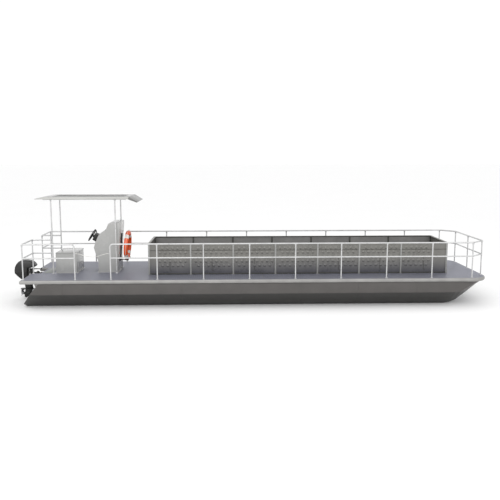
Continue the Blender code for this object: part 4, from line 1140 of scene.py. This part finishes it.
class BOAT_OT_console(bpy.types.Operator):
    """Make the console's shell with its dials, switches, hatch and base angle"""

    bl_idname = "boat.console"
    bl_label = "Console"

    def execute(self, context):
        shell = finer("console", "console_shell", 0.010, 3, 8.0)
        hand_over(smooth(shell, 30.0), finish("panel"), "boat", ["console"])
        # Painted shade: the console's upward faces take the darker lid paint.
        paint_some(shell, finish("lid"), lambda face: face.normal.z > 0.9)
        low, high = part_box("console")
        foot_low = Vector((station(1.763), low.y, low.z))
        foot_high = Vector((station(2.275), high.y, low.z))
        hand_over(smooth(join("console_angle", base_flange(foot_low, foot_high))), finish("steel"), "boat", ())
        place = set_in((station(1.860), 0.0, DECK_Z + 1.0625), (0.811, 0.0, 0.585), (-0.585, 0.0, 0.811))
        bezels = []
        faces = []
        marks = []
        for y, radius in ((-0.215, 0.033), (-0.120, 0.042), (0.0, 0.045), (0.120, 0.042), (0.215, 0.033)):
            ring = ring_of("bezel", Vector((0.0, y, 0.002)), Vector((0, 0, 1)), radius, 0.0045, 36, 10)
            bezels.append(ring)
            faces.append(tube("face", (0, y, -0.002), (0, y, 0.0015), radius - 0.001, 36))
            count = 13 if radius > 0.04 else 9
            for index in range(count):
                turn = math.radians(-130 + 260 * index / (count - 1))
                way = Vector((math.cos(turn), math.sin(turn), 0.0))
                start = Vector((0.0, y, 0.0017)) + way * radius * 0.74
                marks.append(tube("tick", start, start + way * radius * 0.16, 0.0009, 6))
            needle = Vector((math.cos(2.2 + y * 9), math.sin(2.2 + y * 9), 0.0))
            hub = Vector((0.0, y, 0.0024))
            marks.append(tube("needle", hub - needle * radius * 0.15, hub + needle * radius * 0.62, 0.0014, 8, 0.0006))
            bezels.append(tube("needle cap", (0, y, 0.0015), (0, y, 0.0045), 0.0045, 16))
        for group in (bezels, faces, marks):
            for piece in group:
                piece.data.transform(place)
        hand_over(smooth(join("dial_bezels", bezels)), finish("steel"), "boat", ())
        hand_over(smooth(join("dial_faces", faces)), finish("glass"), "boat", ())
        hand_over(smooth(join("dial_marks", marks)), finish("white"), "boat", ())
        place = set_in((station(1.945), 0.0, DECK_Z + 1.1175), (0.872, 0.0, 0.490), (-0.490, 0.0, 0.872))
        panel = [block("switch panel", (-0.030, -0.165, -0.001), (0.030, 0.165, 0.003), 0.002, 2)]
        for index in range(7):
            y = -0.135 + 0.045 * index
            rocker = block("rocker", (-0.015, y - 0.010, 0.002), (0.015, y + 0.010, 0.010), 0.003, 2)
            rocker.data.transform(Matrix.Rotation(math.radians(7 if index % 3 else -7), 4, "Y"))
            panel.append(rocker)
        for piece in panel:
            piece.data.transform(place)
        hand_over(smooth(join("switch_panel", panel)), finish("black"), "boat", ())
        slope = Vector((-0.1390, 0.0, 0.5300)).normalized()
        outward = Vector((-slope.z, 0.0, slope.x))
        place = set_in(Vector((station(1.7085), 0.0, DECK_Z + 0.475)) + outward * 0.0, slope, outward)
        fore_side = []
        for piece, thick in (((-0.14, -0.24, 0.14, 0.24), 0.004),):
            door = block("door", (piece[0], piece[1], -0.002), (piece[2], piece[3], thick), 0.003, 2)
            fore_side.append(door)
        hardware = []
        for x in (-0.09, 0.09):
            hardware.append(tube("hinge pin", (x - 0.030, -0.243, 0.004), (x + 0.030, -0.243, 0.004), 0.005, 14))
            hardware.append(block("hinge leaf", (x - 0.026, -0.240, 0.003), (x + 0.026, -0.208, 0.006), 0.001, 1))
        hardware.append(tube("latch", (0.0, 0.205, 0.003), (0.0, 0.205, 0.012), 0.017, 24, 0.015))
        hardware.append(block("latch bar", (-0.013, 0.202, 0.011), (0.013, 0.208, 0.018), 0.002, 2))
        for piece in fore_side + hardware:
            piece.data.transform(place)
        hand_over(smooth(join("console_door", fore_side)), finish("panel"), "boat", ())
        hand_over(smooth(join("console_door_fittings", hardware)), finish("steel"), "boat", ())
        rail = []
        for _, side in SIDES:
            rail.append((station(2.300), side * 0.260, DECK_Z + 1.338))
            rail.append((station(2.300), side * 0.260, DECK_Z + 1.352))
        path = [rail[0], rail[1], (station(2.300), -0.250, DECK_Z + 1.360), (station(2.300), 0.250, DECK_Z + 1.360)]
        path += [rail[3], rail[2]]
        bar = bent_tube("grab", path, 0.006, 4)
        hand_over(smooth(bar), finish("tube"), "boat", ())
        bar.name = "console_grab_bar"
        return {"FINISHED"}


def ring_of(name, centre, axis, radius, thickness, around=48, sides=16):
    """Return a torus about an axis through a centre."""
    deselect()
    bpy.ops.mesh.primitive_torus_add(
        location=centre,
        rotation=axis.to_track_quat("Z", "Y").to_euler(),
        major_radius=radius,
        minor_radius=thickness,
        major_segments=around,
        minor_segments=sides,
    )
    return settle(name)


class BOAT_OT_helm(bpy.types.Operator):
    """Make the helm box, steering wheel and throttle lever"""

    bl_idname = "boat.helm"
    bl_label = "Helm"

    def execute(self, context):
        case = finer("helm_box", "helm_case", 0.007, 3)
        joint = next(j for j in frame["joints"] if j["name"] == "wheel_turn")
        centre = Vector(joint["pos_m"])
        axis = Vector(joint["axis"]).normalized()
        side = Vector((0, 1, 0))
        up = axis.cross(side).normalized()
        boot = [tube("boot", centre - axis * 0.098, centre - axis * (0.060 - 0.012 * i), 0.046 - 0.007 * i, 28)
                for i in range(3)]
        case = smooth(join("helm_case", [case] + boot))
        hand_over(case, finish("black"), "boat", ["helm_box"])
        pieces = [ring_of("rim", centre, axis, 0.172, 0.0128, 64, 16)]
        for index in range(28):
            turn = Matrix.Rotation(2 * math.pi * index / 28, 4, axis)
            grip = centre + turn @ (up * 0.172)
            along = turn @ side
            pieces.append(tube("grip", grip - along * 0.0035, grip + along * 0.0035, 0.0136, 14))
        pieces.append(tube("hub", centre - axis * 0.0155, centre + axis * 0.004, 0.034, 32))
        pieces.append(tube("hub cap", centre + axis * 0.004, centre + axis * 0.0155, 0.034, 32, 0.022))
        tip = centre + up * 0.165
        spoke = tube("spoke", centre + up * 0.02 - axis * 0.004, tip, 0.012, 14, 0.007)
        wing = block("wing", (-0.016, -0.0025, 0.0), (0.016, 0.0025, 0.085), 0.002, 2)
        frame_up = Matrix((side, -axis, up)).transposed().to_4x4()
        wing.data.transform(Matrix.Translation(centre + up * 0.028) @ frame_up)
        arm = join("arm", [spoke, wing])
        pieces += [arm] + [spoke_copy(arm, centre, axis, angle) for angle in (120, 240)]
        wheel = smooth(join("helm_wheel", pieces))
        hand_over(wheel, finish("black"), "wheel", ["steering_wheel"])
        cap = tube("wheel_cap", centre + axis * 0.0150, centre + axis * 0.0175, 0.019, 28, 0.016)
        hand_over(smooth(cap), finish("steel"), "wheel", ())
        lever = finer("throttle_lever", "throttle", 0.002, 2)
        hand_over(smooth(lever), finish("black"), "boat", ["throttle_lever"])
        return {"FINISHED"}


def spoke_copy(item, centre, axis, angle):
    """Return a copy of a piece turned about an axis through a centre."""
    twin = item.copy()
    twin.data = item.data.copy()
    turn = Matrix.Rotation(math.radians(angle), 4, axis)
    twin.data.transform(Matrix.Translation(centre) @ turn @ Matrix.Translation(-centre))
    bpy.context.scene.collection.objects.link(twin)
    return twin


class BOAT_OT_life_ring(bpy.types.Operator):
    """Make the life ring with its bands and grab line, and its bracket"""

    bl_idname = "boat.life_ring"
    bl_label = "Life ring"

    def execute(self, context):
        low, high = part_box("life_ring")
        centre = (low + high) / 2
        lean = math.radians(4.0)
        axis = Vector((math.cos(lean), 0.0, -math.sin(lean)))
        up = Vector((math.sin(lean), 0.0, math.cos(lean)))
        side = Vector((0, 1, 0))

        def round_point(angle, radius, out=0.0):
            turn = math.radians(angle)
            return centre + (side * math.cos(turn) + up * math.sin(turn)) * radius + axis * out

        ring = ring_of("ring_shell", centre, axis, 0.345, 0.0547, 80, 28)
        hand_over(smooth(ring, 80.0), finish("orange"), "boat", ["life_ring"])
        bands = []
        for angle in (45, 135, 225, 315):
            path = [round_point(angle - 9 + 18 * step / 10, 0.345) for step in range(11)]
            bands.append(bent_tube("band", path, 0.0554, 8))
        hand_over(smooth(join("ring_bands", bands)), finish("white"), "boat", ())
        line = []
        steps = 96
        for step in range(steps):
            angle = 360 * step / steps
            bow = abs(math.cos(math.radians(2 * angle)))
            line.append(round_point(angle, 0.345 + 0.0580 + 0.016 * bow ** 1.5, 0.010 * bow))
        rope = [bent_tube("grab line", line, 0.0045, 3, cyclic=True)]
        for angle in (45, 135, 225, 315):
            knot = round_point(angle, 0.345 + 0.058)
            rope.append(ring_of("knot", knot, round_point(angle + 90, 1.0) - centre, 0.007, 0.0035, 14, 8))
        tail = [round_point(-93, 0.404, 0.006), round_point(-92, 0.424, 0.014), round_point(-93, 0.452, 0.018)]
        tail += [round_point(-95, 0.478, 0.014), round_point(-94, 0.496, 0.012)]
        rope.append(bent_tube("tail", tail, 0.0045, 3))
        hand_over(smooth(join("ring_line", rope), 60.0), finish("rope"), "boat", ())
        # The bracket is painted black. Its dark backing plate behind the ring is partly a real holder and partly a
        # painted shadow of the ring on the console's front.
        bracket = finer("life_ring_bracket", "ring_holder", 0.0015, 2)
        hand_over(smooth(bracket), finish("black"), "boat", ["life_ring_bracket"])
        return {"FINISHED"}


def blade(radius, pitch):
    """Return one swept propeller blade that stands along +Z, with its face twisted about it."""
    deselect()
    bpy.ops.mesh.primitive_grid_add(x_subdivisions=8, y_subdivisions=10, size=1)
    item = bpy.context.object
    for corner in item.data.vertices:
        share = corner.co.y + 0.5
        across = corner.co.x
        reach = 0.016 + (radius - 0.016) * share
        wide = 0.030 + 0.060 * math.sin(math.pi * min(share * 0.92 + 0.08, 1.0)) ** 0.8
        wide *= 1.0 if share < 0.8 else math.sqrt(max(1.0 - ((share - 0.8) / 0.2) ** 2 * 0.97, 0.03))
        angle = math.atan2(pitch, 2 * math.pi * reach) * 0.9
        along = across * wide
        camber = 0.006 * (1 - (2 * across) ** 2)
        x = along * math.sin(angle) + camber * math.cos(angle) - 0.020 * share
        y = along * math.cos(angle) - camber * math.sin(angle) - 0.014 * share ** 2
        corner.co = (x, y, reach)
    add_modifier(item, "SOLIDIFY", thickness=0.0035, offset=0.0)
    add_modifier(item, "BEVEL", width=0.0012, segments=2, limit_method="ANGLE", angle_limit=math.radians(50))
    return settle("blade")


class BOAT_OT_outboard(bpy.types.Operator):
    """Make the outboard motor: cowl and pan, leg, propeller, swivel, clamp and transom"""

    bl_idname = "boat.outboard"
    bl_label = "Outboard motor"

    def cowl_shell(self, name, keep_above, level):
        """Return the cowl's rounded body above or below a level line."""
        # Columns: station, height, half width
        rows = [
            (-0.388, 0.522, 0.088), (-0.462, 0.608, 0.130), (-0.532, 0.700, 0.163), (-0.531, 0.780, 0.172),
            (-0.516, 0.868, 0.172), (-0.480, 0.945, 0.162), (-0.425, 1.008, 0.140), (-0.355, 1.046, 0.118),
            (-0.240, 1.050, 0.112), (-0.120, 1.036, 0.112), (-0.062, 1.008, 0.120), (-0.012, 0.958, 0.132),
            (0.018, 0.908, 0.142), (0.022, 0.862, 0.148), (-0.070, 0.852, 0.156), (-0.160, 0.842, 0.160),
            (-0.176, 0.740, 0.142), (-0.196, 0.620, 0.112), (-0.232, 0.522, 0.084),
        ]
        outline = [(station(along), z) for along, z, _ in rows]
        shell = plate(name, outline, -1.0, 1.0, "Y")
        for corner in shell.data.vertices:
            half = min(rows, key=lambda row: abs(station(row[0]) - corner.co.x) + abs(row[1] - corner.co.z))[2]
            corner.co.y = math.copysign(half, corner.co.y)
        round_edges(shell, 0.052, 6, 50.0)
        pick(shell)
        bpy.ops.object.mode_set(mode="EDIT")
        bpy.ops.mesh.select_all(action="SELECT")
        bpy.ops.mesh.bisect(
            plane_co=(0, 0, level),
            plane_no=(0, 0, 1),
            use_fill=True,
            clear_inner=keep_above,
            clear_outer=not keep_above,
        )
        bpy.ops.object.mode_set(mode="OBJECT")
        return shell

    def execute(self, context):
        black = finish("black gloss")
        satin = finish("black")
        hood = self.cowl_shell("cowl", True, 0.722)
        vents = []
        for index in range(4):
            z = 0.905 + 0.022 * index
            x = station(-0.500 + 0.018 * index)
            vents.append(block("vent", (x - 0.055, -0.060, z), (x + 0.030, 0.060, z + 0.009)))
        cut(hood, vents)
        hand_over(smooth(hood, 40.0), black, "motor", ["motor_cowl"])
        pan = self.cowl_shell("cowl pan", False, 0.716)
        pan.data.transform(Matrix.Translation((0, 0, 0)))
        fittings = [pan]
        seal = self.cowl_shell("seal", False, 0.7225)
        pick(seal)
        bpy.ops.object.mode_set(mode="EDIT")
        bpy.ops.mesh.select_all(action="SELECT")
        bpy.ops.mesh.bisect(plane_co=(0, 0, 0.7155), plane_no=(0, 0, 1), use_fill=True, clear_inner=True)
        bpy.ops.object.mode_set(mode="OBJECT")
        middle = Vector((station(-0.34), 0.0, 0.719))
        seal.data.transform(Matrix.Translation(middle) @ Matrix.Diagonal((0.985, 0.975, 1, 1)) @ Matrix.Translation(-middle))
        fittings.append(seal)
        for way in (-1.0, 1.0):
            ends = sorted((way * 0.140, way * 0.158))
            latch = block("latch", (station(-0.400), ends[0], 0.690), (station(-0.345), ends[1], 0.742), 0.004, 2)
            fittings.append(latch)
        fittings.append(block("tilt grip", (station(-0.535), -0.055, 0.735), (station(-0.520), 0.055, 0.765), 0.006, 3))
        hand_over(smooth(join("cowl_pan", fittings), 40.0), satin, "motor", ())

        leg = finer("motor_leg", "drive_leg", 0.002, 2)
        extras = [leg]
        hub_z = next(j for j in frame["joints"] if j["name"] == "propeller_spin")["pos_m"][2]
        for way in (-1.0, 1.0):
            for index in range(4):
                x = station(-0.215 + 0.014 * index)
                ends = sorted((way * 0.030, way * 0.0405))
                extras.append(block("grille", (x, ends[0], hub_z - 0.012), (x + 0.006, ends[1], hub_z + 0.012), 0.002, 1))
            for x, z in ((-0.290, 0.480), (-0.200, 0.480), (-0.280, 0.380), (-0.160, 0.380)):
                half = 0.056 if z > 0.45 else 0.044
                extras += bolt((station(x), way * (half - 0.006), z), (0, way, 0), 0.007)
        tab = block("trim tab", (station(-0.395), -0.005, 0.212), (station(-0.335), 0.005, 0.247), 0.003, 2)
        extras.append(tab)
        hand_over(smooth(join("drive_leg", extras)), satin, "motor", ["motor_leg"])
        arm = finer("steering_arm", "steer_bar", 0.003, 2)
        arm_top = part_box("steering_arm")[1].z
        bolts = bolt((station(0.150), 0.0, arm_top), (0, 0, 1), 0.010)
        bolts += bolt((station(-0.085), 0.0, arm_top), (0, 0, 1), 0.014)
        arm = join("steer_bar", [arm] + bolts)
        hand_over(smooth(arm), satin, "motor", ["steering_arm"])
        swivel = finer("motor_swivel", "swivel_bracket", 0.002, 2)
        hand_over(smooth(swivel), satin, "swivel", ["motor_swivel"])
        clamp = finer("motor_bracket", "clamp_bracket", 0.002, 2)
        hand_over(smooth(clamp), satin, "boat", ["motor_bracket"])
        for node in ("motor_transom", "transom_gusset_port", "transom_gusset_starboard"):
            sheet = finer(node, node + "_plate", 0.003, 2)
            hand_over(smooth(sheet), finish("edge"), "boat", [node])
        low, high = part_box("motor_transom")
        bolts = []
        for y in (-0.26, -0.17, 0.17, 0.26):
            for z in (0.330, 0.560):
                bolts += bolt((low.x, y, z), (-1, 0, 0), 0.007)
                bolts += bolt((high.x, y, z), (1, 0, 0), 0.007)
        hand_over(smooth(join("transom_bolts", bolts)), finish("steel"), "boat", ())

        centre = Vector(next(j for j in frame["joints"] if j["name"] == "propeller_spin")["pos_m"])
        low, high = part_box("propeller")
        radius = high.z - centre.z
        pieces = [tube("hub", (low.x + 0.008, 0, centre.z), (high.x, 0, centre.z), 0.024, 32, 0.033)]
        pieces.append(tube("nut", (low.x, 0, centre.z), (low.x + 0.010, 0, centre.z), 0.011, 6))
        wing = blade(radius - 0.001, 0.28)
        for index in range(3):
            twin = wing.copy()
            twin.data = wing.data.copy()
            bpy.context.scene.collection.objects.link(twin)
            turn = Matrix.Rotation(2 * math.pi * index / 3, 4, "X")
            twin.data.transform(Matrix.Translation(centre + Vector((0.008, 0, 0))) @ turn)
            pieces.append(twin)
        bpy.data.objects.remove(wing)
        hand_over(smooth(join("screw", pieces), 50.0), finish("propeller"), "screw", ["propeller"])
        return {"FINISHED"}


class BOAT_OT_stage(bpy.types.Operator):
    """Lay a pale floor, set soft light and aim the camera"""

    bl_idname = "boat.stage"
    bl_label = "Stage"

    def execute(self, context):
        deselect()
        bpy.ops.mesh.primitive_plane_add(size=400, location=(0, 0, -0.004))
        floor = settle("floor")
        material, tree, shader = start_finish("pale floor", (0.93, 0.93, 0.93), 0.95)
        haze = noise(tree, place_pattern(tree), 0.3, 2.0)
        tone = mix_colours(tree, haze, (0.93, 0.93, 0.93), (0.95, 0.95, 0.95))
        tree.links.new(tone, shader.inputs["Base Color"])
        shader.inputs["Specular IOR Level"].default_value = 0.1
        floor.data.materials.append(material)

        scene = context.scene
        scene.view_settings.view_transform = "Standard"
        world = bpy.data.worlds.new("studio")
        world.use_nodes = True
        backdrop = world.node_tree.nodes["Background"]
        backdrop.inputs["Color"].default_value = (1.0, 1.0, 1.0, 1.0)
        backdrop.inputs["Strength"].default_value = 1.05
        scene.world = world

        # Columns: name, place, aim, size, power
        lamps = [
            ("key", (-6.0, -14.0, 9.0), (0.0, 0.0, 0.8), 9.0, 700.0),
            ("fill", (10.0, -10.0, 6.0), (2.0, 0.0, 0.8), 9.0, 250.0),
        ]
        for name, place, aim, size, power in lamps:
            deselect()
            bpy.ops.object.light_add(type="AREA", location=place)
            lamp = context.object
            lamp.name = name
            lamp.data.energy = power
            lamp.data.size = size
            lamp.rotation_euler = (Vector(aim) - Vector(place)).to_track_quat("-Z", "Y").to_euler()

        deselect()
        bpy.ops.object.camera_add(location=(STERN_X + 5.226, -17.626, 3.929))
        camera = context.object
        camera.name = "photo_camera"
        camera.data.lens = 46.93
        camera.data.sensor_width = 36.0
        camera.data.clip_end = 500.0
        camera.rotation_euler = (math.radians(90.0 - 8.53), 0.0, math.radians(-1.94))
        scene.camera = camera
        return {"FINISHED"}


OPERATORS = (
    BOAT_OT_stage,
    BOAT_OT_gate_ropes,
    BOAT_OT_hulls,
    BOAT_OT_deck,
    BOAT_OT_rails,
    BOAT_OT_bin,
    BOAT_OT_canopy,
    BOAT_OT_seat,
    BOAT_OT_console,
    BOAT_OT_helm,
    BOAT_OT_life_ring,
    BOAT_OT_outboard,
)


class BOAT_PT_panel(bpy.types.Panel):
    """Lists the boat's pieces in the sidebar"""

    bl_idname = "BOAT_PT_panel"
    bl_label = "Skimmer Boat"
    bl_space_type = "VIEW_3D"
    bl_region_type = "UI"
    bl_category = "Skimmer Boat"

    def draw(self, context):
        for group in (context.scene.boat_sizes, context.scene.boat_colours):
            for name in type(group).__annotations__:
                self.layout.prop(group, name)
        for operator in OPERATORS:
            self.layout.operator(operator.bl_idname)


CLASSES = (BoatSizes, BoatColours, *OPERATORS, BOAT_PT_panel)


def register():
    """Register the classes and the scene's settings."""
    for item in CLASSES:
        bpy.utils.register_class(item)
    bpy.types.Scene.boat_sizes = PointerProperty(type=BoatSizes)
    bpy.types.Scene.boat_colours = PointerProperty(type=BoatColours)


def unregister():
    """Remove the scene's settings and the classes."""
    del bpy.types.Scene.boat_colours
    del bpy.types.Scene.boat_sizes
    for item in reversed(CLASSES):
        bpy.utils.unregister_class(item)


def main():
    register()
    for operator in OPERATORS:
        group, name = operator.bl_idname.split(".")
        getattr(getattr(bpy.ops, group), name)()


if __name__ == "__main__":
    main()
